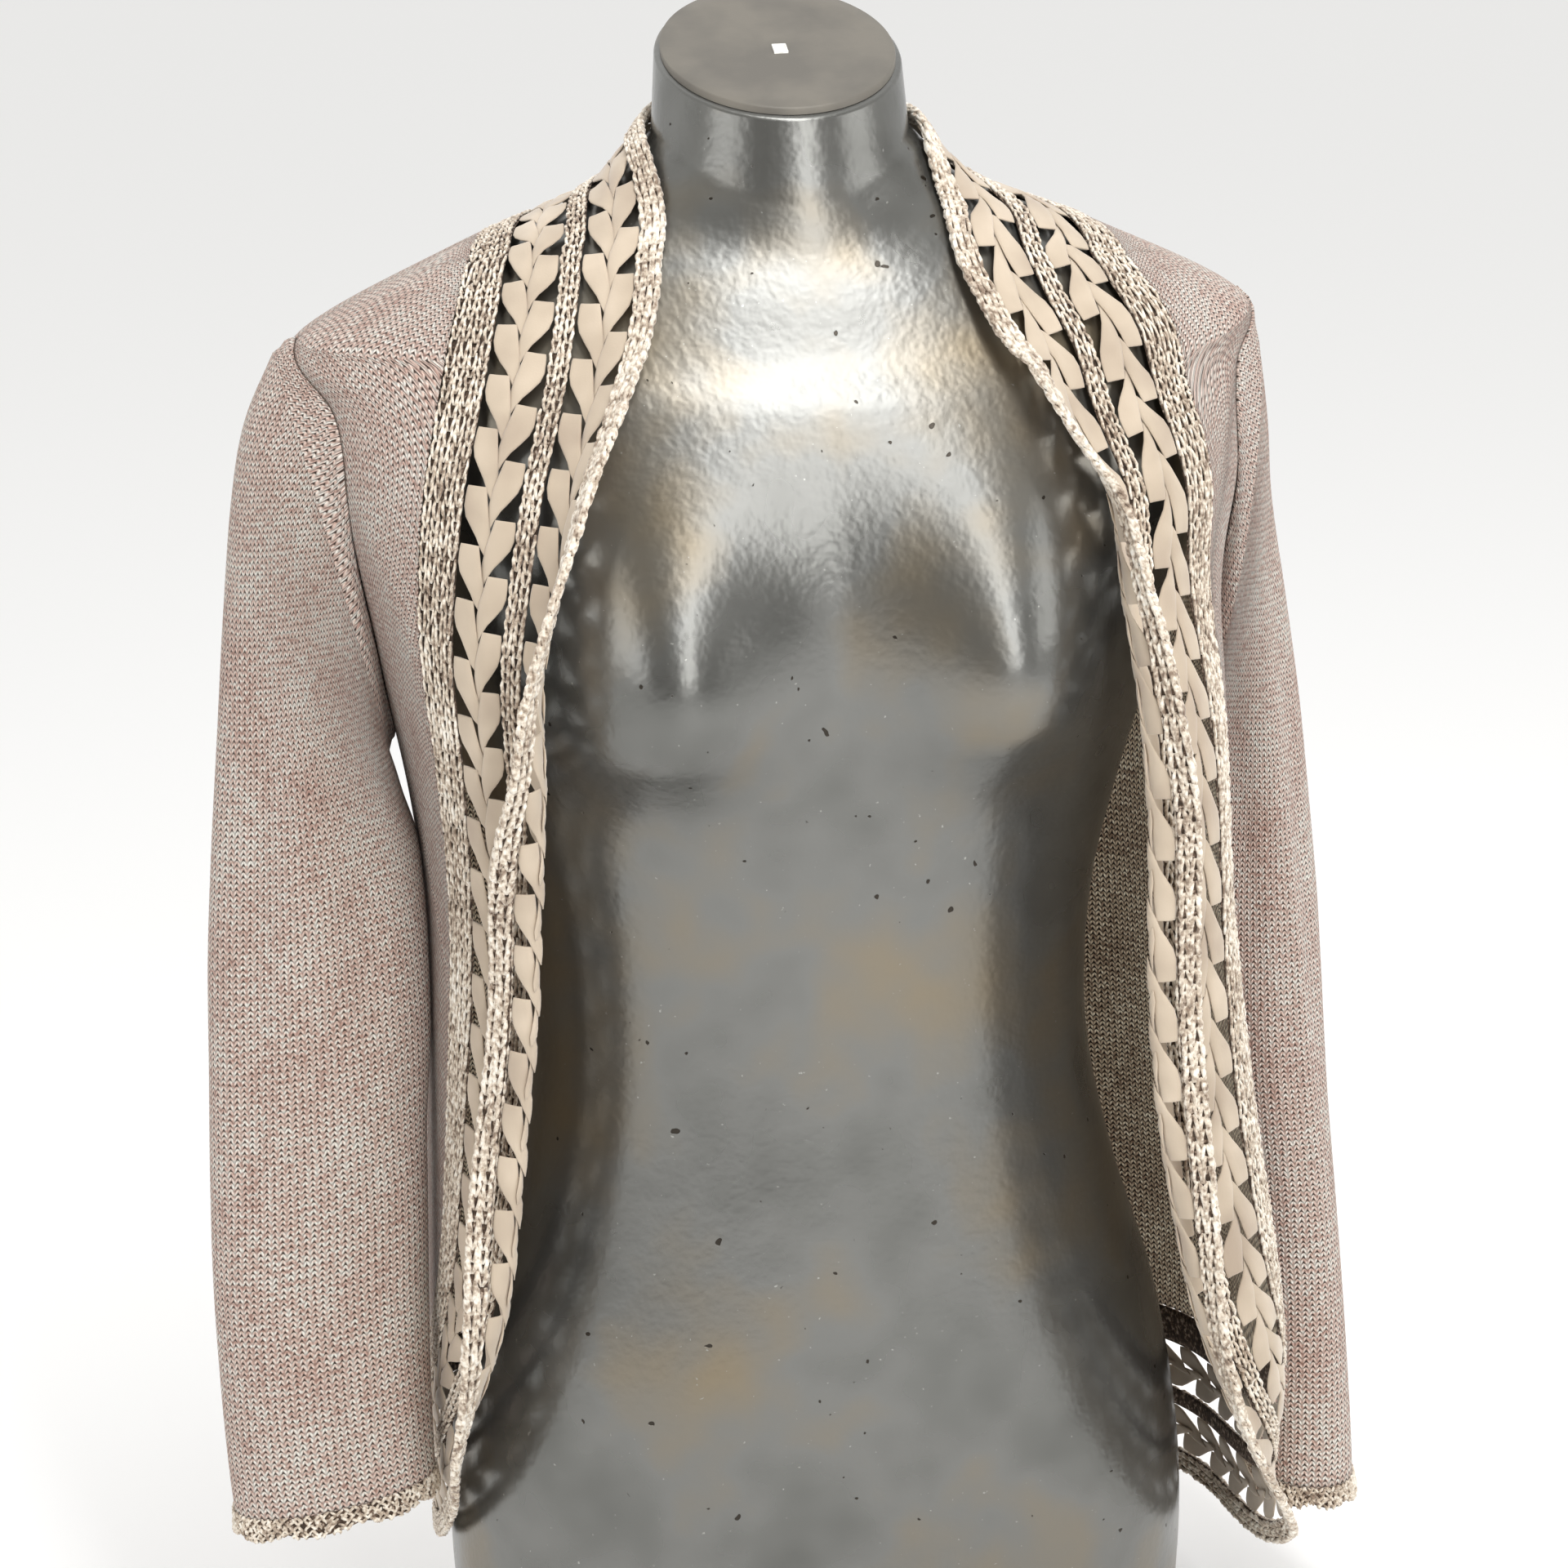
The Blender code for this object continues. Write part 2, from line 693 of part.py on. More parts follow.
def make_form(material):
    rows = np.array(FORM_ROWS, float)
    places = np.arange(0, len(rows) - 0.99, 1.0)
    places = sorted([*places, *FORM_EXTRA_RINGS])
    points = []
    for place in places:
        row = blend_rows(rows, place)
        points += [form_point(2 * math.pi * k / FORM_SEGMENTS, row) for k in range(FORM_SEGMENTS)]
    width, front = rows[-1][3] - CAP_INSET, rows[-1][4] - CAP_INSET
    for k in range(FORM_SEGMENTS):
        turn = 2 * math.pi * k / FORM_SEGMENTS
        x, y = width * math.sin(turn), -front * math.cos(turn)
        points.append(np.array((x, y, cap_height(y, CAP_CENTRE_HEIGHT))))
    rings = len(places) + 1
    faces = tube_faces(rings, FORM_SEGMENTS)
    faces.append(tuple(reversed(range(FORM_SEGMENTS))))
    faces.append(tuple(range((rings - 1) * FORM_SEGMENTS, rings * FORM_SEGMENTS)))
    add_object("dress_form", points, faces, material)


def make_cap(material):
    """The flat plate that closes the neck, just above the form and parallel to its sloping top."""
    last = FORM_ROWS[-1]
    width, front = last[3] - 2 * CAP_INSET, last[4] - 2 * CAP_INSET
    points = []
    for level in (SEAM_GAP, SEAM_GAP + CAP_THICKNESS):
        for k in range(FORM_SEGMENTS):
            turn = 2 * math.pi * k / FORM_SEGMENTS
            x, y = width * math.sin(turn), -front * math.cos(turn)
            points.append(np.array((x, y, cap_height(y, CAP_CENTRE_HEIGHT) + level)))
    faces = tube_faces(2, FORM_SEGMENTS)
    faces.append(tuple(reversed(range(FORM_SEGMENTS))))
    faces.append(tuple(range(FORM_SEGMENTS, 2 * FORM_SEGMENTS)))
    add_object("neck_cap", points, faces, material)


def make_trim(section, stations, rolled, crochet, jersey):
    """The five strips of one stretch of trim, from the free edge inward."""
    steps = len(stations) - 1
    even, odd = even_stations(steps), odd_stations(steps)
    make_band(f"edge_band_{section}", stations, odd, EDGE_BAND, EDGE_THICKNESS, crochet)
    make_braid(f"outer_braid_{section}", stations, OUTER_BRAID, rolled, True, jersey)
    make_band(f"narrow_band_{section}", stations, even, NARROW_BAND, BAND_THICKNESS, crochet)
    make_braid(f"inner_braid_{section}", stations, INNER_BRAID, False, False, jersey)
    make_band(f"wide_band_{section}", stations, odd, WIDE_BAND, BAND_THICKNESS, crochet)


def clear_scene():
    for piece in list(bpy.data.objects):
        bpy.data.objects.remove(piece, do_unlink=True)


def build():
    clear_scene()
    bpy.context.scene.collection.children.link(bpy.data.collections.new(COLLECTION))
    materials = {name: make_material(name) for name in FINISHES}
    knit = materials["pink_melange_knit"]
    crochet = materials["cream_slub_crochet"]
    jersey = materials["taupe_jersey_strip"]

    samples, lengths, bounds = trace_guide()
    steps = (LEFT_FRONT_STEPS, NECK_STEPS, RIGHT_FRONT_STEPS, HEM_STEPS)
    names = ("left_front", "neck", "right_front", "hem")
    sections = {}
    for k, name in enumerate(names):
        sections[name] = section_stations(samples, lengths, bounds[k], bounds[k + 1], steps[k])
        make_trim(name, sections[name], "front" in name, crochet, jersey)

    inner = {}
    for name, stations in sections.items():
        chosen = odd_stations(len(stations) - 1)
        inner[name] = [stations[i].surface(TRIM_WIDTH) for i in chosen]

    left, right = math.radians(90), math.radians(270)
    outer_left = side_line(left, -1, inner["left_front"][0], inner["left_front"][-1])
    make_front("front_left", inner["left_front"], outer_left, knit)
    outer_right = side_line(right, 1, inner["right_front"][-1], inner["right_front"][0])
    make_front("front_right", inner["right_front"], outer_right[::-1], knit)

    hem, neck = inner["hem"][::-1], inner["neck"]
    back_left = side_line(left, 1, hem[0], neck[0])
    back_right = side_line(right, -1, hem[-1], neck[-1])
    hem = [back_left[0]] + hem[1:-1] + [back_right[0]]
    neck = [back_left[-1]] + neck[1:-1] + [back_right[-1]]
    make_back("back", back_left, back_right, hem, neck, knit)

    for side, word in ((1, "left"), (-1, "right")):
        make_sleeve(f"sleeve_{word}", side, knit)
        make_edging(f"cuff_edging_{word}", side, crochet)
    make_form(materials["silver_lacquer"])
    make_cap(materials["matt_grey_cap"])


build()
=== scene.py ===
import math
from functools import partial

import bpy
import numpy as np
from mathutils import Matrix


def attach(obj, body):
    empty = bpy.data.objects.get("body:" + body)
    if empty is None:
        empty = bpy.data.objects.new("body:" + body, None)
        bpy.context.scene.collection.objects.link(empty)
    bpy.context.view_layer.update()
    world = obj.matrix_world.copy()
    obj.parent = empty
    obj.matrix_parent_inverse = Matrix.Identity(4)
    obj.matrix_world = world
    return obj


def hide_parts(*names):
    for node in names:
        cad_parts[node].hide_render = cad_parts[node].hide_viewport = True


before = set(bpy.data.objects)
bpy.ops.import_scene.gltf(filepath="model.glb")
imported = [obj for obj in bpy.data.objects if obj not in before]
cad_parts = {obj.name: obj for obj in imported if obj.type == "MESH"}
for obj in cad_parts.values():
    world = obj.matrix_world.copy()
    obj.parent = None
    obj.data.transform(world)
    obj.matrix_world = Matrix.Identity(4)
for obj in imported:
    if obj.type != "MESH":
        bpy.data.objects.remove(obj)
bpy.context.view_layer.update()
bpy.ops.object.select_all(action="DESELECT")


# Dress form
# A limbless torso moulded as a hollow shell and sprayed with glossy dark silver lacquer. The skin
# has a faint orange peel, bright specks and small dark chips. It stands on its flat base.
FORM_ROWS = np.array((
    # height in front, at the side, at the back, half width, depth in front, at the back, roundness
    (0, 0, 0, 167, 106, 110, 2.4),
    (45, 45, 45, 171, 110, 114, 2.4),
    (90, 90, 90, 173, 112, 114, 2.4),
    (140, 140, 140, 170, 112, 109, 2.4),
    (200, 200, 200, 160, 109, 101, 2.4),
    (265, 265, 265, 141, 103, 89, 2.3),
    (330, 330, 330, 129, 97, 80, 2.3),
    (395, 395, 395, 132, 96, 82, 2.3),
    (455, 455, 455, 147, 101, 91, 2.3),
    (525, 525, 525, 168, 110, 102, 2.4),
    (588, 588, 588, 190, 105, 111, 2.4),
    (628, 628, 632, 199, 92, 103, 2.3),
    (647, 653.5, 663, 198, 80, 91, 2.15),
    (673, 686.5, 698.5, 139.5, 68, 76, 2.05),
    (692.5, 711.7, 723, 81, 59, 61, 2.0),
    (712, 737, 749, 55.4, 53, 53, 2.0),
))
CHEST_HEIGHT, CHEST_SPREAD, CHEST_RISE = 503.0, 78.0, 31.0
CHEST_ABOVE, CHEST_BELOW, CHEST_ASIDE = 70.0, 32.0, 45.0
NECK_TILT, NECK_HEIGHT, NECK_INSET = 24.0, 768.0, 2.5
FORM_SEGMENTS, FORM_RINGS_PER_ROW = 96, 5


def read_rows(table, place):
    """Read a table at fractional places, smoothly through its rows."""
    last = len(table) - 1
    i = np.clip(np.floor(place).astype(int), 0, last - 1)
    f = (place - i)[..., None]
    before = np.where(i[..., None] > 0, table[np.maximum(i - 1, 0)], 2 * table[0] - table[1])
    beyond = 2 * table[last] - table[last - 1]
    after = np.where(i[..., None] < last - 1, table[np.minimum(i + 2, last)], beyond)
    here, ahead = table[i], table[i + 1]
    bend = f * (1 - f) ** 2 * (ahead - before) / 2 - f**2 * (1 - f) * (after - here) / 2
    return (1 + 2 * f) * (1 - f) ** 2 * here + (3 - 2 * f) * f**2 * ahead + bend


def ring_reach(s, c, width, depth, power):
    return ((np.abs(s) / width) ** power + (np.abs(c) / depth) ** power) ** (-1 / power)


def form_skin(turn, place):
    row = read_rows(FORM_ROWS, place)
    s, c = np.sin(turn), np.cos(turn)
    end = np.where(c > 0, row[..., 0], row[..., 2])
    z = row[..., 1] * s * s + end * c * c
    reach = ring_reach(s, c, row[..., 3], np.where(c > 0, row[..., 4], row[..., 5]), row[..., 6])
    x, y = reach * s, -reach * c
    tall = np.where(z > CHEST_HEIGHT, CHEST_ABOVE, CHEST_BELOW)
    rise = np.exp(-(((np.abs(x) - CHEST_SPREAD) / CHEST_ASIDE) ** 2) - ((z - CHEST_HEIGHT) / tall) ** 2)
    return np.stack((x, y - np.where(c > 0, CHEST_RISE * rise, 0), z), axis=-1)


def neck_plane(y):
    return NECK_HEIGHT + y * math.tan(math.radians(NECK_TILT))


def begin_edit(*kinds):
    bpy.ops.object.mode_set(mode="EDIT")
    bpy.context.tool_settings.mesh_select_mode = ("VERT" in kinds, "EDGE" in kinds, "FACE" in kinds)


def pick(piece, kind, test):
    """Select only the vertices, edges or faces that pass a test on their middle point."""
    bpy.ops.object.mode_set(mode="OBJECT")
    mesh = piece.data
    places = {
        "vertices": lambda v: v.co,
        "edges": lambda e: (mesh.vertices[e.vertices[0]].co + mesh.vertices[e.vertices[1]].co) / 2,
        "polygons": lambda p: p.center,
    }[kind]
    for group in (mesh.vertices, mesh.edges, mesh.polygons):
        group.foreach_set("select", [False] * len(group))
    for item in getattr(mesh, kind):
        item.select = bool(test(places(item), item))
    bpy.ops.object.mode_set(mode="EDIT")


def colour(hex_code):
    """An sRGB hex colour as the linear RGBA that sockets take."""
    parts = [int(hex_code[k : k + 2], 16) / 255 for k in (1, 3, 5)]
    return (*(p / 12.92 if p <= 0.04045 else ((p + 0.055) / 1.055) ** 2.4 for p in parts), 1.0)


def new_material(name):
    """A new material with its node tree and its shader."""
    material = bpy.data.materials.new(name)
    material.use_nodes = True
    tree = material.node_tree
    return material, tree, tree.nodes["Principled BSDF"]


def feed(tree, made, inputs):
    """Set a node's inputs. Each takes a socket, which is linked, or a plain value."""
    for key, value in inputs.items():
        if isinstance(value, bpy.types.NodeSocket):
            tree.links.new(value, made.inputs[key])
        else:
            made.inputs[key].default_value = value


def node(tree, kind, inputs=None, stops=(), out=0, **settings):
    """Add a node and return one of its outputs. Stops are a ramp's places and hex colours."""
    made = tree.nodes.new("ShaderNode" + kind)
    for key, value in settings.items():
        if hasattr(made, key):
            setattr(made, key, value)
        else:
            made.inputs[key.replace("_", " ")].default_value = value
    feed(tree, made, inputs or {})
    for k, (place, code) in enumerate(stops):
        elements = made.color_ramp.elements
        element = elements[k] if k < len(elements) else elements.new(place)
        element.position = place
        element.color = colour(code)
    return made.outputs[out]


form_places = np.linspace(0, len(FORM_ROWS) - 1, (len(FORM_ROWS) - 1) * FORM_RINGS_PER_ROW + 1)
form_rings = len(form_places)
bpy.ops.mesh.primitive_grid_add(x_subdivisions=FORM_SEGMENTS, y_subdivisions=form_rings, size=1)
form = bpy.context.object
form.name = form.data.name = "form_skin"
flat = np.array([v.co[:] for v in form.data.vertices])
column = np.rint((flat[:, 0] + 0.5) * FORM_SEGMENTS)
ring = np.rint((flat[:, 1] + 0.5) * form_rings).astype(int)
turn = 2 * math.pi * column / FORM_SEGMENTS
skin = form_skin(turn, form_places[np.minimum(ring, form_rings - 1)])
neck_x = (FORM_ROWS[-1][3] - NECK_INSET) * np.sin(turn)
neck_y = -(FORM_ROWS[-1][4] - NECK_INSET) * np.cos(turn)
rim = np.stack((neck_x, neck_y, neck_plane(neck_y)), axis=-1)
skin = np.where((ring == form_rings)[:, None], rim, skin)
form.data.vertices.foreach_set("co", (skin / 1000).ravel())
begin_edit("VERT")
bpy.ops.mesh.select_all(action="SELECT")
bpy.ops.mesh.remove_doubles(threshold=0.00001)
bpy.ops.mesh.normals_make_consistent(inside=False)
pick(form, "edges", lambda p, e: p.z < 0.0001)
bpy.ops.mesh.edge_face_add()
bpy.ops.mesh.bevel(offset=0.003, segments=2, affect="EDGES")
pick(form, "edges", lambda p, e: abs(p.z * 1000 - neck_plane(p.y * 1000)) < 0.6)
bpy.ops.mesh.edge_face_add()
bpy.ops.mesh.bevel(offset=0.0012, segments=2, affect="EDGES")
bpy.ops.object.mode_set(mode="OBJECT")
form.data.shade_smooth()
form.data.set_sharp_from_angle(angle=math.radians(50))

# Silver lacquer: metal flake paint, mirror-like but milky, with an orange peel of 2 to 3 mm.
# The chips are drawn about 1.5 mm wide, a little coarser than most real ones, so that they show.
LACQUER_TONES = (0.3, "#666663"), (0.5, "#797976"), (0.7, "#877c69")
lacquer, tree, shader = new_material("silver_flake_lacquer")
place = node(tree, "TexCoord", out="Object")
cloud = node(tree, "TexNoise", {"Vector": place}, Scale=9.0, Detail=3.0, Roughness=0.6)
tint = node(tree, "ValToRGB", {"Fac": cloud}, LACQUER_TONES)
speck_noise = node(tree, "TexNoise", {"Vector": place}, Scale=420.0, Detail=2.0)
speck = node(tree, "MapRange", {"Value": speck_noise}, From_Min=0.73, From_Max=0.79)
chip_noise = node(tree, "TexNoise", {"Vector": place}, Scale=170.0, Detail=1.0)
chip = node(tree, "MapRange", {"Value": chip_noise}, From_Min=0.775, From_Max=0.79)
speckled = node(tree, "Mix", {0: speck, 6: tint, 7: colour("#a3a39e")}, out=2, data_type="RGBA")
chipped = node(tree, "Mix", {0: chip, 6: speckled, 7: colour("#3a352f")}, out=2, data_type="RGBA")
gloss = node(tree, "MapRange", {"Value": cloud}, To_Min=0.22, To_Max=0.34)
peel = node(tree, "TexNoise", {"Vector": place}, Scale=240.0, Detail=1.0)
peel_bump = node(tree, "Bump", {"Height": peel}, Strength=0.22, Distance=0.0007)
pits = {"Height": chip, "Normal": peel_bump}
chip_bump = node(tree, "Bump", pits, Strength=0.6, Distance=0.0005, invert=True)
feed(tree, shader, {"Base Color": chipped, "Metallic": 0.78, "Roughness": gloss, "Normal": chip_bump})
form.data.materials.append(lacquer)
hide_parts("dress_form")
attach(form, "root")


# Neck cap
# A matt plate closes the form's neck on the slope of its top. A square metal socket for a finial
# sits in its middle.
cap_width, cap_depth = FORM_ROWS[-1][3] - 2 * NECK_INSET, FORM_ROWS[-1][4] - 2 * NECK_INSET
bpy.ops.mesh.primitive_cylinder_add(vertices=96, radius=1, depth=0.003)
cap = bpy.context.object
cap.name = cap.data.name = "cap_plate"
begin_edit("FACE")
bpy.ops.mesh.select_all(action="SELECT")
bpy.ops.transform.resize(value=(cap_width / 1000, cap_depth / 1000, 1))
pick(cap, "edges", lambda p, e: p.z > 0.001)
bpy.ops.mesh.bevel(offset=0.0007, segments=2, affect="EDGES")
pick(cap, "polygons", lambda p, f: p.z > 0.0012 and f.area > 0.001)
bpy.ops.mesh.inset(thickness=0.006, depth=0)
bpy.ops.object.mode_set(mode="OBJECT")
for vertex in cap.data.vertices:
    vertex.co.z += (neck_plane(vertex.co.y * 1000) + 0.3 + 1.5) / 1000
cap.data.shade_smooth()
cap.data.set_sharp_from_angle(angle=math.radians(40))

# Matt grey enamel: a dull brownish grey with a fine even grain and a soft sheen.
ENAMEL_TONES = (0.35, "#69655e"), (0.65, "#777269")
enamel, tree, shader = new_material("matt_grey_enamel")
place = node(tree, "TexCoord", out="Object")
stain = node(tree, "TexNoise", {"Vector": place}, Scale=40.0, Detail=4.0)
enamel_tone = node(tree, "ValToRGB", {"Fac": stain}, ENAMEL_TONES)
grain = node(tree, "TexNoise", {"Vector": place}, Scale=900.0, Detail=1.0)
grain_bump = node(tree, "Bump", {"Height": grain}, Strength=0.15, Distance=0.0002)
feed(tree, shader, {"Base Color": enamel_tone, "Metallic": 0.2, "Roughness": 0.5, "Normal": grain_bump})
cap.data.materials.append(enamel)
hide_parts("neck_cap")
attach(cap, "root")

SOCKET_PLACE = (0.0005, -0.003)
bpy.ops.object.select_all(action="DESELECT")
bpy.ops.mesh.primitive_cube_add(size=0.0062)
socket = bpy.context.object
socket.name = socket.data.name = "cap_socket"
begin_edit("FACE")
bpy.ops.mesh.select_all(action="SELECT")
bpy.ops.transform.resize(value=(1, 1, 0.22))
pick(socket, "polygons", lambda p, f: f.normal.z > 0.9)
bpy.ops.mesh.inset(thickness=0.0007, depth=0)
bpy.ops.mesh.extrude_region_move(TRANSFORM_OT_translate={"value": (0, 0, -0.0004)})
pick(socket, "edges", lambda p, e: True)
bpy.ops.mesh.bevel(offset=0.0001, segments=1, affect="EDGES")
bpy.ops.object.mode_set(mode="OBJECT")
for vertex in socket.data.vertices:
    vertex.co.x += SOCKET_PLACE[0]
    vertex.co.y += SOCKET_PLACE[1]
    vertex.co.z += (neck_plane(vertex.co.y * 1000) + 3.5) / 1000

# Nickel plate: bright and pale, the lightest spot on the cap.
PLATE_TONES = (0.3, "#e4e3dc"), (0.7, "#fbfaf6")
nickel, tree, shader = new_material("bright_nickel_plate")
place = node(tree, "TexCoord", out="Object")
rub = node(tree, "TexNoise", {"Vector": place}, Scale=600.0, Detail=2.0)
plate_tone = node(tree, "ValToRGB", {"Fac": rub}, PLATE_TONES)
feed(tree, shader, {"Base Color": plate_tone, "Metallic": 0.35, "Roughness": 0.4})
socket.data.materials.append(nickel)
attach(socket, "root")


# Back and fronts
# Three panels of loose stockinette in a pinkish melange yarn, knitted flat and linked at the side
# and shoulder seams. They hang from the shoulders of the form.
BODY_ROWS = np.array((
    # height in front, at the side, at the back, half width, depth in front, at the back, roundness,
    # shift to the left, roundness of the left front
    (45, 45, 45, 192, 132, 124, 3.0, 13, 4.0),
    (120, 120, 120, 192, 132, 122, 3.0, 13, 4.5),
    (200, 200, 200, 191, 132, 117, 3.0, 13, 6.0),
    (330, 330, 330, 179, 129, 106, 2.8, 7, 7.0),
    (430, 430, 430, 174, 129, 106, 2.6, 3, 6.5),
    (525, 525, 525, 186, 131, 112, 2.5, -1, 3.0),
    (590, 590, 590, 203, 117, 116, 2.4, -3, 2.4),
    (630, 630, 634, 208, 98, 110, 2.3, -4, 2.3),
    (650, 657, 668, 207, 83, 98, 2.2, -4, 2.2),
    (676, 690, 702, 142, 70, 80, 2.1, -3, 2.1),
    (696, 714, 726, 84, 61, 65, 2.0, -1, 2.0),
    (714, 741, 754, 59, 57, 59, 2.0, 0, 2.0),
))
GUIDE = (
    # the trim's guide line, 35 mm in from the free edge: angle from the front, height, roll of the edge
    (90, 94, 0), (76, 105, 6), (64.7, 129, 34), (55.5, 165, 66), (49.8, 214, 95), (47.1, 277, 135),
    (46, 331, 168), (45.9, 384, 180), (46.7, 442, 160), (47.9, 499, 115), (50.4, 540, 92),
    (52.8, 589, 72), (53.2, 620, 52), (56, 647, 30), (58.5, 672, 14), (63, 690, 4),
    (74, 704, 0), (90, 715, 0),
    (112, 717, 0), (135, 718, 0), (180, 721, 0), (225, 718, 0), (248, 717, 0),
    (270, 715, 0), (283, 709.5, 0), (293, 701, 3), (300, 688, 10), (304.5, 671, 20),
    (307.6, 650, 38), (309.8, 620, 55), (310.3, 592, 68), (309.8, 563, 80), (308.4, 530, 90),
    (307.4, 491, 108), (306, 455, 142), (304.7, 420, 172), (303.5, 376, 180), (301.1, 320, 168),
    (299.4, 282, 140), (297, 242, 105), (294, 217, 74), (288.5, 187, 38), (281, 159, 8), (270, 131, 0),
    (255, 113, 0), (225, 102, 0), (180, 94, 0), (135, 89, 0), (105, 89, 0),
)
SECTION_KNOTS = (0, 17, 23, 43)
SECTION_STEPS = (56, 18, 56, 40)
GUIDE_LINE, TRIM_WIDTH = 35.0, 86.4
ROLL_START, ROLL_LENGTH, ROLL_SOFT_ANGLE = 31.0, 14.0, 40.0
UNDERARM_ROW, SHOULDER_TIP_ROW = 4.53, 8.0
ARMHOLE_HALF_ANGLE, ARMHOLE_ROUNDNESS = 14.0, 0.65
SEAM_GAP = 0.3
# a panel's rows: up the side seam to the first, round the armhole to the next, then to the neck
SEAM_END, ARM_END, SHOULDER_END = 12, 24, 29
KNIT_THICKNESS = 1.2


def body(angle, place):
    """Points of the body surface: angle from the front towards the wearer's left, row up the table."""
    row = read_rows(BODY_ROWS, place)
    s, c = np.sin(angle), np.cos(angle)
    depth = np.where(c > 0, row[..., 4], row[..., 5])
    end = np.where(c > 0, row[..., 0], row[..., 2])
    power = np.where((s > 0) & (c > 0), row[..., 8], row[..., 6])
    reach = ring_reach(s, c, row[..., 3], depth, power)
    z = row[..., 1] * s * s + end * c * c
    return np.stack((reach * s + row[..., 7], -reach * c, z), axis=-1)


def unit(vectors):
    return vectors / np.linalg.norm(vectors, axis=-1, keepdims=True)


def square_to(vectors, normal):
    """Unit vectors, turned square to a normal."""
    return unit(vectors - normal * np.sum(vectors * normal, axis=-1, keepdims=True))


def body_slopes(angle, place):
    h = 1e-4
    around = (body(angle + h, place) - body(angle - h, place)) / (2 * h)
    upward = (body(angle, place + h) - body(angle, place - h)) / (2 * h)
    return around, upward


def body_normal(angle, place):
    return unit(np.cross(*body_slopes(angle, place)))


def row_at_height(angle, height):
    low, high = np.full(np.shape(angle), -0.4), np.full(np.shape(angle), len(BODY_ROWS) - 0.6)
    for _ in range(40):
        middle = (low + high) / 2
        below = body(angle, middle)[..., 2] < height
        low, high = np.where(below, middle, low), np.where(below, high, middle)
    return (low + high) / 2


def trace_guide():
    """The closed guide line as angle, row and roll every 2 mm, with its length and each section's start."""
    table = np.array(GUIDE, float)
    turn = np.radians(table[:, 0])
    knots = np.stack((turn, row_at_height(turn, table[:, 1]), table[:, 2]), axis=-1)
    places = body(knots[:, 0], knots[:, 1])
    count = len(knots)
    gaps = np.linalg.norm(np.roll(places, -1, axis=0) - places, axis=-1)
    ahead = (np.roll(knots, -1, axis=0) - knots) / gaps[:, None]
    behind, gap_behind = np.roll(ahead, 1, axis=0), np.roll(gaps, 1)
    slopes = (ahead * gap_behind[:, None] + behind * gaps[:, None]) / (gaps + gap_behind)[:, None]
    samples, starts = [], []
    for i in range(count):
        j = (i + 1) % count
        if i in SECTION_KNOTS:
            starts.append(sum(len(s) for s in samples))
        pieces = max(2, int(gaps[i] / 2))
        f = (np.arange(pieces) / pieces)[:, None]
        samples.append(
            (2 * f**3 - 3 * f**2 + 1) * knots[i]
            + (f**3 - 2 * f**2 + f) * gaps[i] * slopes[i]
            + (3 * f**2 - 2 * f**3) * knots[j]
            + (f**3 - f**2) * gaps[i] * slopes[j]
        )
    samples = np.concatenate(samples + [samples[0][:1]])
    steps = np.linalg.norm(np.diff(body(samples[:, 0], samples[:, 1]), axis=0), axis=-1)
    lengths = np.concatenate(([0.0], np.cumsum(steps)))
    return samples, lengths, [lengths[i] for i in starts] + [lengths[-1]]


def march(angle, place, direction, distance, count=12):
    """Walk straight over the body surface from many places at once."""
    angles, places = [angle], [place]
    for _ in range(count):
        around, upward = body_slopes(angle, place)
        move = direction * distance / count
        pairs = (around, around), (around, upward), (upward, upward), (move, around), (move, upward)
        aa, au, uu, ma, mu = (np.sum(p * q, axis=-1) for p, q in pairs)
        spread = aa * uu - au * au
        angle = angle + (ma * uu - mu * au) / spread
        place = place + (mu * aa - ma * au) / spread
        direction = square_to(direction, body_normal(angle, place))
        angles.append(angle)
        places.append(place)
    return np.array(angles), np.array(places)


guide, guide_lengths, section_starts = trace_guide()
guide_total = guide_lengths[-1]
near = np.stack([np.interp((guide_lengths + 2) % guide_total, guide_lengths, guide[:, k]) for k in (0, 1)])
far = np.stack([np.interp((guide_lengths - 2) % guide_total, guide_lengths, guide[:, k]) for k in (0, 1)])
guide_tangent = unit(body(*near) - body(*far))
guide_inward = unit(np.cross(guide_tangent, body_normal(guide[:, 0], guide[:, 1])))
out_angle, out_row = march(guide[:, 0], guide[:, 1], -guide_inward, GUIDE_LINE)
in_angle, in_row = march(guide[:, 0], guide[:, 1], guide_inward, TRIM_WIDTH - GUIDE_LINE)
trim_angle = np.concatenate((out_angle[::-1], in_angle[1:])).T
trim_row = np.concatenate((out_row[::-1], in_row[1:])).T
trim_widths = np.concatenate((np.linspace(0, GUIDE_LINE, 13), np.linspace(GUIDE_LINE, TRIM_WIDTH, 13)[1:]))


def trim_surface(length, width):
    """The angle and row of the body surface under the trim at these lengths and widths."""
    at = np.interp(np.mod(length, guide_total), guide_lengths, np.arange(len(guide_lengths)))
    i = np.clip(at.astype(int), 0, len(guide_lengths) - 2)
    f = at - i
    across = np.interp(width, trim_widths, np.arange(len(trim_widths)))
    j = np.clip(across.astype(int), 0, len(trim_widths) - 2)
    g = across - j
    found = []
    for grid in (trim_angle, trim_row):
        low = grid[i, j] * (1 - g) + grid[i, j + 1] * g
        high = grid[i + 1, j] * (1 - g) + grid[i + 1, j + 1] * g
        found.append(low * (1 - f) + high * f)
    return found


def seam_shift(side_angle, place):
    around, _ = body_slopes(np.full(np.shape(place), side_angle), place)
    return SEAM_GAP / 2 / np.linalg.norm(around, axis=-1)


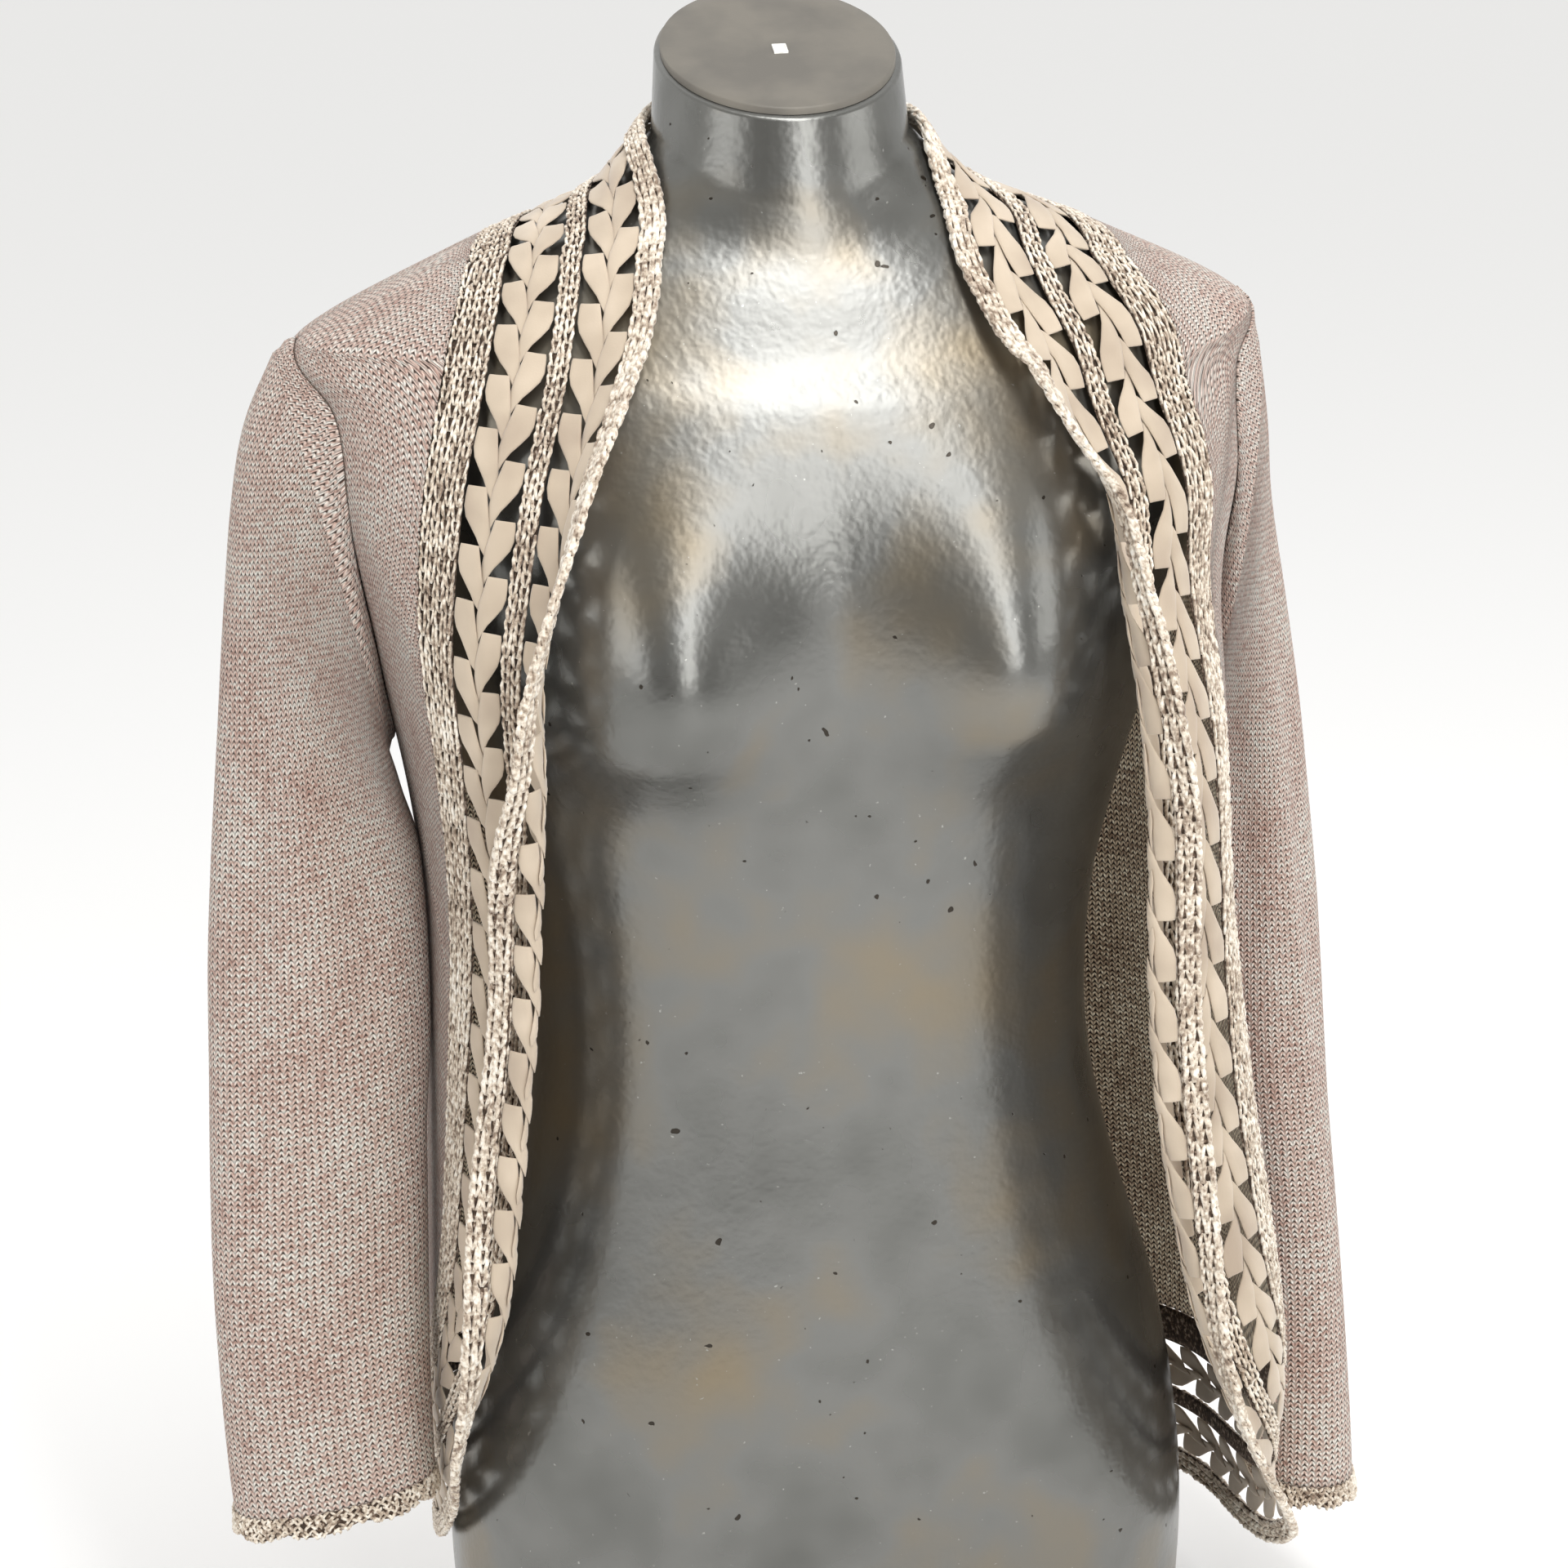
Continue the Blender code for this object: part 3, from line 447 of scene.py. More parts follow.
def armhole(side_angle, f, toward):
    """Places on the armhole, from underarm to shoulder tip, towards the front or back panel."""
    place = UNDERARM_ROW + (SHOULDER_TIP_ROW - UNDERARM_ROW) * f
    spread = math.radians(ARMHOLE_HALF_ANGLE) * np.abs(np.sin(math.pi * f)) ** ARMHOLE_ROUNDNESS
    return side_angle + toward * (spread + seam_shift(side_angle, place)), place


def side_line(side_angle, toward, hem, neck, t):
    """A panel's edge: up the side seam, round the armhole and along the shoulder, as t grows."""
    seam = np.clip(t / SEAM_END, 0, 1)
    seam_row = hem[1] + (UNDERARM_ROW - hem[1]) * seam
    seam_angle = side_angle + (hem[0] - side_angle) * (1 - np.minimum(1, 2 * seam)) ** 2
    arm = np.clip((t - SEAM_END) / (ARM_END - SEAM_END), 0, 1)
    arm_angle, arm_row = armhole(side_angle, arm, toward)
    shoulder = np.clip((t - ARM_END) / (SHOULDER_END - ARM_END), 0, 1)
    shoulder_row = SHOULDER_TIP_ROW + (neck[1] - SHOULDER_TIP_ROW) * shoulder
    shoulder_angle = side_angle + (neck[0] - side_angle) * shoulder**2
    row = np.where(t < SEAM_END, seam_row, np.where(t < ARM_END, arm_row, shoulder_row))
    shifted = np.where(t < SEAM_END, seam_angle, shoulder_angle) + toward * seam_shift(side_angle, row)
    return np.where((t >= SEAM_END) & (t < ARM_END), arm_angle, shifted), row


def add_object(name, data):
    made = bpy.data.objects.new(name, data)
    bpy.context.scene.collection.objects.link(made)
    return made


def add_mesh(name, points, faces, materials):
    """A smooth piece at the origin, from points in millimetres."""
    mesh = bpy.data.meshes.new(name)
    mesh.from_pydata((points.reshape(-1, 3) / 1000).tolist(), [], faces)
    for material in materials:
        mesh.materials.append(material)
    mesh.shade_smooth()
    return add_object(name, mesh)


def add_sheet(name, points, uv, materials, thickness, wrap=False):
    """A wall on a grid of points, with its own flat coordinates in metres."""
    rows, columns = points.shape[:2]
    i, j = np.meshgrid(np.arange(rows - 1), np.arange(columns if wrap else columns - 1), indexing="ij")
    i, j = i.ravel(), j.ravel()
    corners = [(i, j), (i, j + 1), (i + 1, j + 1), (i + 1, j)]
    faces = np.stack([a * columns + b % columns for a, b in corners], axis=-1)
    piece = add_mesh(name, points, faces.tolist(), materials)
    loops = np.stack([uv[a, b] for a, b in corners], axis=1).reshape(-1, 2)
    piece.data.uv_layers.new(name="stitches").data.foreach_set("uv", (loops / 1000).ravel())
    wall = piece.modifiers.new("wall", "SOLIDIFY")
    wall.thickness = thickness / 1000
    wall.offset = 0
    wall.use_even_offset = False
    wall.material_offset = len(materials) - 1
    return piece


def surface_lengths(points, axis):
    """Lengths along one way of a grid of points, from its first line."""
    steps = np.linalg.norm(np.diff(points, axis=axis), axis=-1)
    start = np.zeros_like(np.take(steps, [0], axis=axis))
    return np.concatenate((start, np.cumsum(steps, axis=axis)), axis=axis)


def sheet_area(points):
    a = points[:-1, :-1], points[:-1, 1:], points[1:, 1:], points[1:, :-1]
    first = np.linalg.norm(np.cross(a[1] - a[0], a[2] - a[0]), axis=-1)
    second = np.linalg.norm(np.cross(a[2] - a[0], a[3] - a[0]), axis=-1)
    return float((first + second).sum() / 2) / 1e6


# Stockinette in a cotton melange: each stitch is a small arch, 3.4 mm wide and 2.6 mm tall. The hole under
# it and the grooves between its legs are painted shade. The yarn drifts from cream to dusty pink, and its
# wrong side is darker, with deeper painted shade and a painted glow.
STITCH_WIDTH, STITCH_HEIGHT, LEG_LEAN = 0.0034, 0.0026, -1.15


def knit_material(name, yarn_stops, hole_shade, shading, hole_size, painted_glow):
    material, tree, shader = new_material(name)
    uv = node(tree, "UVMap", uv_map="stitches")
    drift = node(tree, "TexNoise", {"Vector": uv}, Scale=110.0, Detail=1.0, out="Color")
    wobble = node(tree, "VectorMath", {0: drift}, operation="SCALE", Scale=0.0012)
    moved = node(tree, "VectorMath", {0: uv, 1: wobble}, operation="ADD")
    split = node(tree, "SeparateXYZ", {"Vector": moved}).node.outputs
    # from the edge of a column of stitches to its middle, then down the leaning legs
    across = node(tree, "Math", {0: split["X"], 1: STITCH_WIDTH / 2}, operation="PINGPONG")
    fall = node(tree, "Math", {0: across, 1: LEG_LEAN, 2: split["Y"]}, operation="MULTIPLY_ADD")
    leg = node(tree, "Math", {0: fall, 1: STITCH_HEIGHT / 2}, operation="PINGPONG")
    middle = node(tree, "MapRange", {"Value": across}, From_Max=STITCH_WIDTH / 2)
    bow = node(tree, "Math", {0: across, 1: STITCH_WIDTH / 4}, operation="PINGPONG")
    swell = node(tree, "Math", {0: bow, 1: 750.0, 2: 0.36}, operation="MULTIPLY_ADD")
    yarn = node(tree, "MapRange", {"Value": leg}, From_Min=0.0001, From_Max=0.0009)
    height = node(tree, "Math", {0: yarn, 1: swell}, operation="MULTIPLY")
    low = node(tree, "MapRange", {"Value": leg}, From_Min=STITCH_HEIGHT / 2, From_Max=0.0)
    gap = node(tree, "Math", {0: low, 1: middle}, operation="MULTIPLY")
    # painted shade: the hole under each stitch is drawn in a dark colour, not left open
    hole_shade_mask = node(tree, "MapRange", {"Value": gap}, From_Min=0.62 - hole_size, From_Max=0.8 - hole_size)
    stretched = node(tree, "Mapping", {"Vector": uv}, Scale=(120.0, 380.0, 1.0))
    streak = node(tree, "TexNoise", {"Vector": stretched}, Scale=1.0, Detail=2.0)
    fleck = node(tree, "TexNoise", {"Vector": uv}, Scale=520.0, Detail=1.0)
    patch = node(tree, "TexNoise", {"Vector": uv}, Scale=22.0, Detail=2.0)
    drawn = node(tree, "Mix", {0: 0.6, 2: streak, 3: fleck})
    mixed = node(tree, "Mix", {0: 0.2, 2: drawn, 3: patch})
    melange = node(tree, "ValToRGB", {"Fac": mixed}, yarn_stops)
    # painted shade: the yarn darkens towards the hole colour where the stitch lies low
    shade = node(tree, "MapRange", {"Value": height}, From_Max=0.8, To_Min=shading, To_Max=0.0)
    shaded = node(tree, "Mix", {0: shade, 6: melange, 7: colour(hole_shade)}, out=2, data_type="RGBA")
    hole_shaded = node(tree, "Mix", {0: hole_shade_mask, 6: shaded, 7: colour(hole_shade)}, out=2, data_type="RGBA")
    bump = node(tree, "Bump", {"Height": height}, Strength=0.9, Distance=0.0012)
    feed(tree, shader, {"Base Color": hole_shaded, "Roughness": 0.85, "Sheen Weight": 0.2, "Normal": bump})
    # painted light: a faint glow stands in for daylight through the loose stitches, as bright loops on the
    # wrong side
    feed(tree, shader, {"Emission Color": hole_shaded, "Emission Strength": painted_glow})
    return material


# The hole colours, and the wrong side's darker tones and deeper shading, are painted shade.
OUTSIDE_TONES = (0.38, "#c79f90"), (0.49, "#efd4c6"), (0.59, "#fffaf0")
INSIDE_TONES = (0.40, "#8d7560"), (0.52, "#d3bfa3"), (0.62, "#fff3da")
knit_outside = knit_material("cotton_melange_stockinette", OUTSIDE_TONES, "#3a281e", 0.6, 0.2, 0.0)
knit_inside = knit_material("stockinette_wrong_side", INSIDE_TONES, "#1b120d", 0.9, 0.3, 0.3)

PANEL_ROWS, FRONT_COLUMNS, BACK_COLUMNS = 150, 22, 90
panel_t = np.linspace(0, SHOULDER_END, PANEL_ROWS + 1)
knots = [0, *((2 * k - 1) / SECTION_STEPS[0] for k in range(1, SHOULDER_END)), 1]
line_t = np.interp(panel_t, np.arange(SHOULDER_END + 1), knots)


def trim_line(section, share):
    start, end = section_starts[section], section_starts[section + 1]
    return trim_surface(start + (end - start) * share, np.full(np.shape(share), TRIM_WIDTH))


LEFT, RIGHT = math.radians(90), math.radians(270)
for word, section, side_angle, toward, way in (("left", 0, LEFT, -1, 1), ("right", 2, RIGHT, 1, -1)):
    inner_angle, inner_row = trim_line(section, line_t)
    ends = ((inner_angle[0], inner_row[0]), (inner_angle[-1], inner_row[-1]))
    outer_angle, outer_row = side_line(side_angle, toward, *ends[::way], panel_t)
    outer_angle, outer_row = outer_angle[::way], outer_row[::way]
    inner_angle[[0, -1]], inner_row[[0, -1]] = outer_angle[[0, -1]], outer_row[[0, -1]]
    # the two edges meet in a point at each end, where the panel keeps a sliver of width
    share = np.linspace(0, 1, FRONT_COLUMNS + 1)
    angles = inner_angle[:, None] + (outer_angle - inner_angle)[:, None] * share
    rows = inner_row[:, None] + (outer_row - inner_row)[:, None] * share
    points = body(angles, rows)[1:-1]
    across = surface_lengths(points, 1)
    rise = surface_lengths(points[::way], 0)[::way]
    uv = np.stack((across - across[:, -1:], rise), axis=-1)
    front = add_sheet(f"front_knit_{word}", points, uv, (knit_outside, knit_inside), KNIT_THICKNESS)
    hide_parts(f"front_{word}")
    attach(front, "root")
    level = np.linalg.norm(np.diff(points[..., :2], axis=1), axis=-1).sum(axis=1)
    sheet_area(points)

hem_angle, hem_row = trim_line(3, np.linspace(1, 0, BACK_COLUMNS + 1))
neck_angle, neck_row = trim_line(1, np.linspace(0, 1, BACK_COLUMNS + 1))
hem_ends = [(hem_angle[k], hem_row[k]) for k in (0, -1)]
neck_ends = [(neck_angle[k], neck_row[k]) for k in (0, -1)]
left_line = np.array(side_line(LEFT, 1, hem_ends[0], neck_ends[0], panel_t))
right_line = np.array(side_line(RIGHT, -1, hem_ends[1], neck_ends[1], panel_t))
hem_line, neck_line = np.array((hem_angle, hem_row)), np.array((neck_angle, neck_row))
hem_line[:, 0], hem_line[:, -1] = left_line[:, 0], right_line[:, 0]
neck_line[:, 0], neck_line[:, -1] = left_line[:, -1], right_line[:, -1]
u = np.linspace(0, 1, BACK_COLUMNS + 1)[None, None, :]
v = (panel_t / SHOULDER_END)[None, :, None]
stretched = (1 - u) * left_line[:, :, None] + u * right_line[:, :, None]
stretched = stretched + (1 - v) * hem_line[:, None, :] + v * neck_line[:, None, :]
corners = (1 - v) * ((1 - u) * hem_line[:, :1, None] + u * hem_line[:, -1:, None])
corners = corners + v * ((1 - u) * neck_line[:, :1, None] + u * neck_line[:, -1:, None])
points = body(*(stretched - corners))
across = surface_lengths(points, 1)
rise = surface_lengths(points, 0)
uv = np.stack((across - across[:, BACK_COLUMNS // 2 : BACK_COLUMNS // 2 + 1], rise), axis=-1)
back = add_sheet("back_knit", points, uv, (knit_outside, knit_inside), KNIT_THICKNESS)
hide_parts("back")
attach(back, "root")
sheet_area(points)


# Sleeves
# Long tubes of the same knit, each with one seam under the arm and set in flat at the armhole. The
# seam allowance makes a ridge round the armhole, and the empty sleeves hang in long soft folds.
SLEEVES = {
    # outer point's x and height, gap of the inner point from the body, its height, depth, set forward
    1: np.array((
        (209, 644, 6, 474, 44, -2),
        (214, 610, 5, 466, 43, -4),
        (218, 570, 4, 452, 42, -7),
        (227, 520, 4, 430, 41, -10),
        (235, 470, 4, 402, 41, -12),
        (241, 420, 4, 370, 41, -14),
        (246, 370, 4, 335, 41, -15),
        (249, 320, 4, 298, 41, -16),
        (252, 270, 4, 256, 41, -16),
        (256, 218, 4, 210, 40, -14),
        (259, 164, 4, 160, 38, -8),
        (261, 116, 6, 118, 35, -2),
        (261, 84, 8, 88, 33, 4),
    )),
    -1: np.array((
        (221, 651, 6, 474, 44, -1),
        (235, 623, 5, 466, 42, 3),
        (243, 590, 4, 455, 39, 7),
        (250, 540, 1.4, 438, 36, 10),
        (256, 490, 1.4, 415, 34, 14),
        (262, 440, 1.4, 385, 32, 17),
        (267, 390, 1.4, 348, 30, 20),
        (270, 340, 4, 310, 29, 23),
        (273, 290, 4, 272, 28, 26),
        (275, 240, 4, 230, 28, 30),
        (275, 190, 4, 190, 28, 34),
        (274, 154, 4, 164, 27, 37),
        (273, 137, 4, 149, 26, 39),
    )),
}
SLEEVE_FOLDS = (
    # place round the ring, depth, spread, upper and lower end
    (38, 5.0, 17, 600, 250),
    (-18, 3.5, 15, 520, 330),
    (150, 4.5, 18, 590, 300),
    (212, 3.5, 15, 420, 180),
    (62, 1.6, 9, 560, 330),
    (8, 1.4, 8, 430, 200),
    (120, 1.4, 10, 470, 230),
)
SLEEVE_COLUMNS, SLEEVE_RINGS = 64, 96
ARMHOLE_LIFT, ARMHOLE_INSET, RIDGE_HEIGHT = 0.9, 0.1, 1.1


def sleeve_ring(side, place, count):
    """A ring of the sleeve at a fractional row of its table, with the long folds pressed in."""
    outer_x, outer_z, gap, inner_z, depth, forward = read_rows(SLEEVES[side], np.array(float(place)))
    side_angle = np.array(LEFT if side > 0 else RIGHT)
    body_side = body(side_angle, row_at_height(side_angle, inner_z))[0]
    outer = np.array((side * outer_x, -forward, outer_z))
    inner = np.array((body_side + side * gap, -forward, inner_z))
    centre, reach = (outer + inner) / 2, (outer - inner) / 2
    turn = np.radians(-90 + 360 * np.arange(count) / count)
    s, c = np.sin(turn), np.cos(turn)
    spoke = reach * (np.copysign(np.abs(s) ** 0.9, s))[:, None]
    spoke[:, 1] -= depth * np.copysign(np.abs(c) ** 0.9, c)
    height = (centre + spoke)[:, 2]
    press = np.zeros(count)
    for at, fold_depth, spread, top, bottom in SLEEVE_FOLDS:
        away = (np.degrees(turn) - at + 180) % 360 - 180
        along = np.maximum(0, 1 - ((height - (top + bottom) / 2) / ((top - bottom) / 2)) ** 2)
        press += fold_depth * along * np.exp(-((away / spread) ** 2))
    return centre + spoke * (1 - press / np.linalg.norm(spoke, axis=-1))[:, None]


def armhole_ring(side, count):
    """The sleeve's first ring, on the armhole and just clear of the panels."""
    side_angle = LEFT if side > 0 else RIGHT
    middle = body(np.array(side_angle), np.array((SHOULDER_TIP_ROW + UNDERARM_ROW) / 2))
    k = np.arange(count) * 2 / count
    step = np.where(k <= 1, k, 2 - k)
    toward = np.where(k <= 1, -side, side)
    angle, place = armhole(side_angle, step, toward)
    angle = np.where((step == 0) | (step == 1), side_angle, angle)
    point, normal = body(angle, place), body_normal(angle, place)
    return point + normal * ARMHOLE_LIFT + square_to(middle - point, normal) * ARMHOLE_INSET


for side, word in ((1, "left"), (-1, "right")):
    first = armhole_ring(side, SLEEVE_COLUMNS)
    rings = [sleeve_ring(side, p, SLEEVE_COLUMNS) for p in np.linspace(0, 12, SLEEVE_RINGS)]
    joined = [first * (1 - f) + rings[0] * f for f in (0.2, 0.5)]
    # the seam allowance stands up just outside the armhole
    joined[0] = joined[0] + unit(joined[0] - joined[0].mean(axis=0)) * RIDGE_HEIGHT
    points = np.array([first, *joined, *rings])
    closed = np.concatenate((points, points[:, :1]), axis=1)
    around = surface_lengths(closed, 1)
    fall = surface_lengths(closed, 0)
    top = SLEEVE_COLUMNS // 2
    uv = np.stack((around - around[:, top : top + 1], fall[-1:] - fall), axis=-1)
    if side < 0:
        points, uv = points[::-1], uv[::-1]
    knit = knit_outside, knit_inside
    sleeve = add_sheet(f"sleeve_knit_{word}", points[::-1], uv[::-1], knit, KNIT_THICKNESS, wrap=True)
    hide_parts(f"sleeve_{word}")
    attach(sleeve, "root")


# Crochet bands
# Thick slub yarn, a loose twist of cream and taupe cotton, worked in columns of chain stitches round
# the fronts, the neck and the hem: a rope-like edge, a narrow band and a wide band next to the knit.
def trim_station(length, values):
    """Values of every guide sample, read at these lengths."""
    at = np.mod(length, guide_total)
    return np.stack([np.interp(at, guide_lengths, values[:, k]) for k in range(values.shape[1])], axis=-1)


hinge_angle, hinge_row = trim_surface(guide_lengths, np.full(len(guide_lengths), ROLL_START))
hinges, hinge_normals = body(hinge_angle, hinge_row), body_normal(hinge_angle, hinge_row)
inner_angle, inner_row = trim_surface(guide_lengths, np.full(len(guide_lengths), ROLL_START + 2))
hinge_outward = unit(hinges - body(inner_angle, inner_row))


def trim_place(length, width, height):
    """Points of the rolled trim: length along it, width from the free edge, height off its middle."""
    grids = np.broadcast_arrays(length, width, height)
    length, width, height = (grid.ravel().astype(float) for grid in grids)
    angle, row = trim_surface(length, width)
    place, normal = body(angle, row), body_normal(angle, row)
    roll = np.radians(trim_station(length, guide[:, 2:3])[:, 0])
    past = ROLL_START - width
    hinge = trim_station(length, hinges)
    upright = unit(trim_station(length, hinge_normals))
    outward = unit(trim_station(length, hinge_outward))
    share = np.minimum(1, roll / math.radians(ROLL_SOFT_ANGLE))
    share = (share * share * (3 - 2 * share))[:, None]
    turn = roll * np.minimum(1, past / ROLL_LENGTH)
    radius = ROLL_LENGTH / np.maximum(roll, 1e-4)
    tail = np.maximum(0, past - ROLL_LENGTH)
    out = radius * np.sin(turn) + tail * np.cos(turn) - past
    rise = radius * (1 - np.cos(turn)) + tail * np.sin(turn)
    straight = hinge + outward * past[:, None]
    rolled = (1 - share) * place + share * straight + outward * out[:, None] + upright * rise[:, None]
    lift = unit((1 - share) * normal + share * upright)
    lift = unit(lift * np.cos(turn)[:, None] - outward * np.sin(turn)[:, None])
    flat_part = ((past <= 0) | (roll < 0.01))[:, None]
    found = np.where(flat_part, place + normal * height[:, None], rolled + lift * height[:, None])
    return found.reshape(*grids[0].shape, 3)


def stack(*parts):
    """Numbers of several kinds as the last axis of one array."""
    return np.stack(np.broadcast_arrays(*parts), axis=-1)


def tube_faces(rings, sides):
    """The walls and two end caps of one closed tube, whose points run ring by ring."""
    edges = [(a * sides + b, a * sides + (b + 1) % sides) for a in range(rings) for b in range(sides)]
    walls = [edges[k] + edges[k + sides][::-1] for k in range((rings - 1) * sides)]
    first, last = range(sides), range((rings - 1) * sides, rings * sides)
    return [*walls, tuple(first)[::-1], tuple(last)]


STRAND_TAPER = np.array((0.7, 1.05, 1.0, 0.6))
wear = np.random.default_rng(7)


def chain_column(width, half, pitch, height, arch):
    """Lengths, widths and heights of one column of chain stitches: two legs that meet ahead."""
    count = int(round(guide_total / pitch))
    step = guide_total / count
    start = np.arange(count)[:, None] * step + wear.normal(0, 0.12 * step, (count, 1))
    along = np.array((-0.15, 0.35, 0.8, 1.25))
    spread = np.array((0.75, 1.0, 0.7, 0.15))
    lift = np.array((-0.5, 0.8, 1.0, -0.2))
    legs = []
    for way in (-1, 1):
        offset = wear.normal(0, 0.12 * half, (count, 1))
        across = width + way * half * spread + offset
        rise = height + arch * lift + wear.normal(0, 0.08, (count, 1))
        legs.append(stack(start + along * step, across, rise))
    return np.concatenate(legs)


def stitch_mesh(name, place, legs, radius, sides=5):
    """Short strands of yarn as one piece. Legs are strands by points by length, width and height."""
    strands, points = legs.shape[:2]
    length, width, height = np.moveaxis(legs, -1, 0)
    centres = place(length, width, height)
    upward = unit(place(length, width, height + 0.5) - centres)
    aside = unit(np.cross(unit(np.gradient(centres, axis=1)), upward))
    upward = np.cross(aside, unit(np.gradient(centres, axis=1)))
    turns = 2 * math.pi * np.arange(sides) / sides
    spokes = aside[:, :, None] * np.cos(turns)[:, None] + upward[:, :, None] * np.sin(turns)[:, None]
    radius = radius * (1 + wear.normal(0, 0.1, (strands, 1))) * STRAND_TAPER
    faces = []
    for base in range(0, strands * points * sides, points * sides):
        faces += [[base + i for i in face] for face in tube_faces(points, sides)]
    return add_mesh(name, centres[:, :, None] + spokes * radius[..., None, None], faces, (slub,))


def ribbon(name, span, height, thickness, material):
    """The worked ground under the stitches: a closed strip all the way round."""
    count = int(guide_total / 4)
    lengths = np.arange(count) * guide_total / count
    widths = np.linspace(*span, 5)
    grid = trim_place(lengths[None, :], widths[:, None], np.array(height))
    closed = np.concatenate((lengths, [guide_total]))
    uv = stack(closed[None, :], widths[:, None])
    return add_sheet(name, grid[::-1], uv[::-1], (material,), thickness, wrap=True)


# Slub yarn: bright cream and taupe plies that swell and thin, matt with a soft halo.
SLUB_TONES = (0.36, "#8b7766"), (0.45, "#bfae9b"), (0.54, "#e6dac9"), (0.65, "#fbf5ea")
slub, tree, shader = new_material("cotton_slub_yarn")
place = node(tree, "TexCoord", out="Object")
ply = node(tree, "TexNoise", {"Vector": place}, Scale=420.0, Detail=2.0)
tone = node(tree, "TexNoise", {"Vector": place}, Scale=45.0, Detail=2.0)
yarn_tone = node(tree, "Mix", {0: 0.3, 2: ply, 3: tone})
shades = node(tree, "ValToRGB", {"Fac": yarn_tone}, SLUB_TONES)
twist = node(tree, "TexNoise", {"Vector": place}, Scale=1100.0, Detail=1.0)
twist_bump = node(tree, "Bump", {"Height": twist}, Strength=0.5, Distance=0.0004)
feed(tree, shader, {"Base Color": shades, "Roughness": 0.75, "Sheen Weight": 0.3, "Normal": twist_bump})

# The ground of the bands is painted shade: a dark brown taupe sheet stands in for the shaded back of the
# same yarn and the gaps under the stitches.
GROUND_SHADE_TONES = (0.42, "#3d3026"), (0.56, "#6a5647"), (0.66, "#b5a596")
ground_shade, tree, shader = new_material("slub_yarn_ground_painted_shade")
place = node(tree, "TexCoord", out="Object")
weave = node(tree, "TexNoise", {"Vector": place}, Scale=500.0, Detail=2.0)
weave_shade_tone = node(tree, "ValToRGB", {"Fac": weave}, GROUND_SHADE_TONES)
weave_bump = node(tree, "Bump", {"Height": weave}, Strength=0.6, Distance=0.0005)
feed(tree, shader, {"Base Color": weave_shade_tone, "Roughness": 0.9, "Normal": weave_bump})

SECTIONS = ("left_front", "neck", "right_front", "hem")
BANDS = {
    # the ground's two edges, height and thickness, pitch of the stitches, radius of the yarn, flat width
    "edge": (0.9, 10.6, 0.0, 1.2, 5.6, 1.05, 9.7),
    "narrow": (35.3, 43.7, -0.75, 0.6, 5.2, 0.78, 8.4),
    "wide": (68.3, 85.7, -0.75, 0.6, 6.0, 0.72, 17.4),
}
COLUMNS = {
    # columns of chain stitches: places of their middles, half width, height, rise of the legs
    "edge": (((2.3, 5.6, 8.9), 1.45, 0.7, 0.45), ((3.2, 7.8), 1.9, -0.7, -0.45)),
    "narrow": (((37.3, 41.7), 1.55, 0.15, 0.45),),
    "wide": (((70.3, 74.8, 79.3, 83.7), 1.6, 0.15, 0.45),),
}
for word, (start, end, height, thickness, pitch, radius, width) in BANDS.items():
    # each band's ground is a sheet of painted shade under its stitches
    strip = ribbon(f"{word}_ground", (start, end), height, thickness, ground_shade)
    legs = []
    for middles, half, lift, arch in COLUMNS[word]:
        legs += [chain_column(middle, half, pitch, lift, arch) for middle in middles]
    if word == "edge":
        # a loop of yarn binds the free edge at every stitch
        count = int(round(guide_total / pitch))
        along = (np.arange(count)[:, None] + np.array((-0.1, 0.2, 0.7, 1.1))) * guide_total / count
        across, rise = np.array((1.7, 0.9, 0.8, 1.8)), np.array((1.0, 0.5, -0.5, -1.0))
        legs.append(stack(along, across, rise))
    stitches = stitch_mesh(f"{word}_stitches", trim_place, np.concatenate(legs), radius)
    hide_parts(*[f"{word}_band_{s}" for s in SECTIONS])
    for piece in (strip, stitches):
        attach(piece, "root")
    max(width, 10) / 1000


# Plaited braids
# Strips of smooth taupe jersey, folded soft and plaited flat. Each fold starts blunt at one side,
# crosses over the last one and tucks under the next, and leaves a small triangle open at the edge.
LEAF_ALONG = np.array((0.0, 0.4, 1.2, 4, 8, 12, 16, 20, 24, 27, 29.5, 31))
OUTER_AT = (0, 2, 8, 11, 13, 16, 19, 21, 25, 29, 31)
OUTER_EDGE = (-11.0, -11.5, -11.5, -10.9, -9.8, -7.6, -5.2, -3.9, -1.8, 0.2, 1.2)
LEAF_OUTER = np.interp(LEAF_ALONG, OUTER_AT, OUTER_EDGE)
LEAF_INNER = np.interp(LEAF_ALONG, (0, 12.5, 20, 27, 31), (-2.6, 0.2, 1.6, 2.4, 1.8))
LEAF_SIDES, LEAF_HALF_THICKNESS, LEAF_STEP, LEAF_LEAD = 14, 0.66, 11.5, 6.0
# the line where the next fold's edge crosses this one
CROSS_ALONG, CROSS_AT = (11.5, 24, 31.5), (2.6, -0.2, -1.6)
# how softly a fold tucks under the next one and rises over the last one, and how far
TUCK_START, TUCK_SPREAD, TUCK_DEPTH = 2.6, 3.2, 0.75
CROWN_START, CROWN_SPREAD, CROWN_RISE = 8.0, 5.0, 0.75


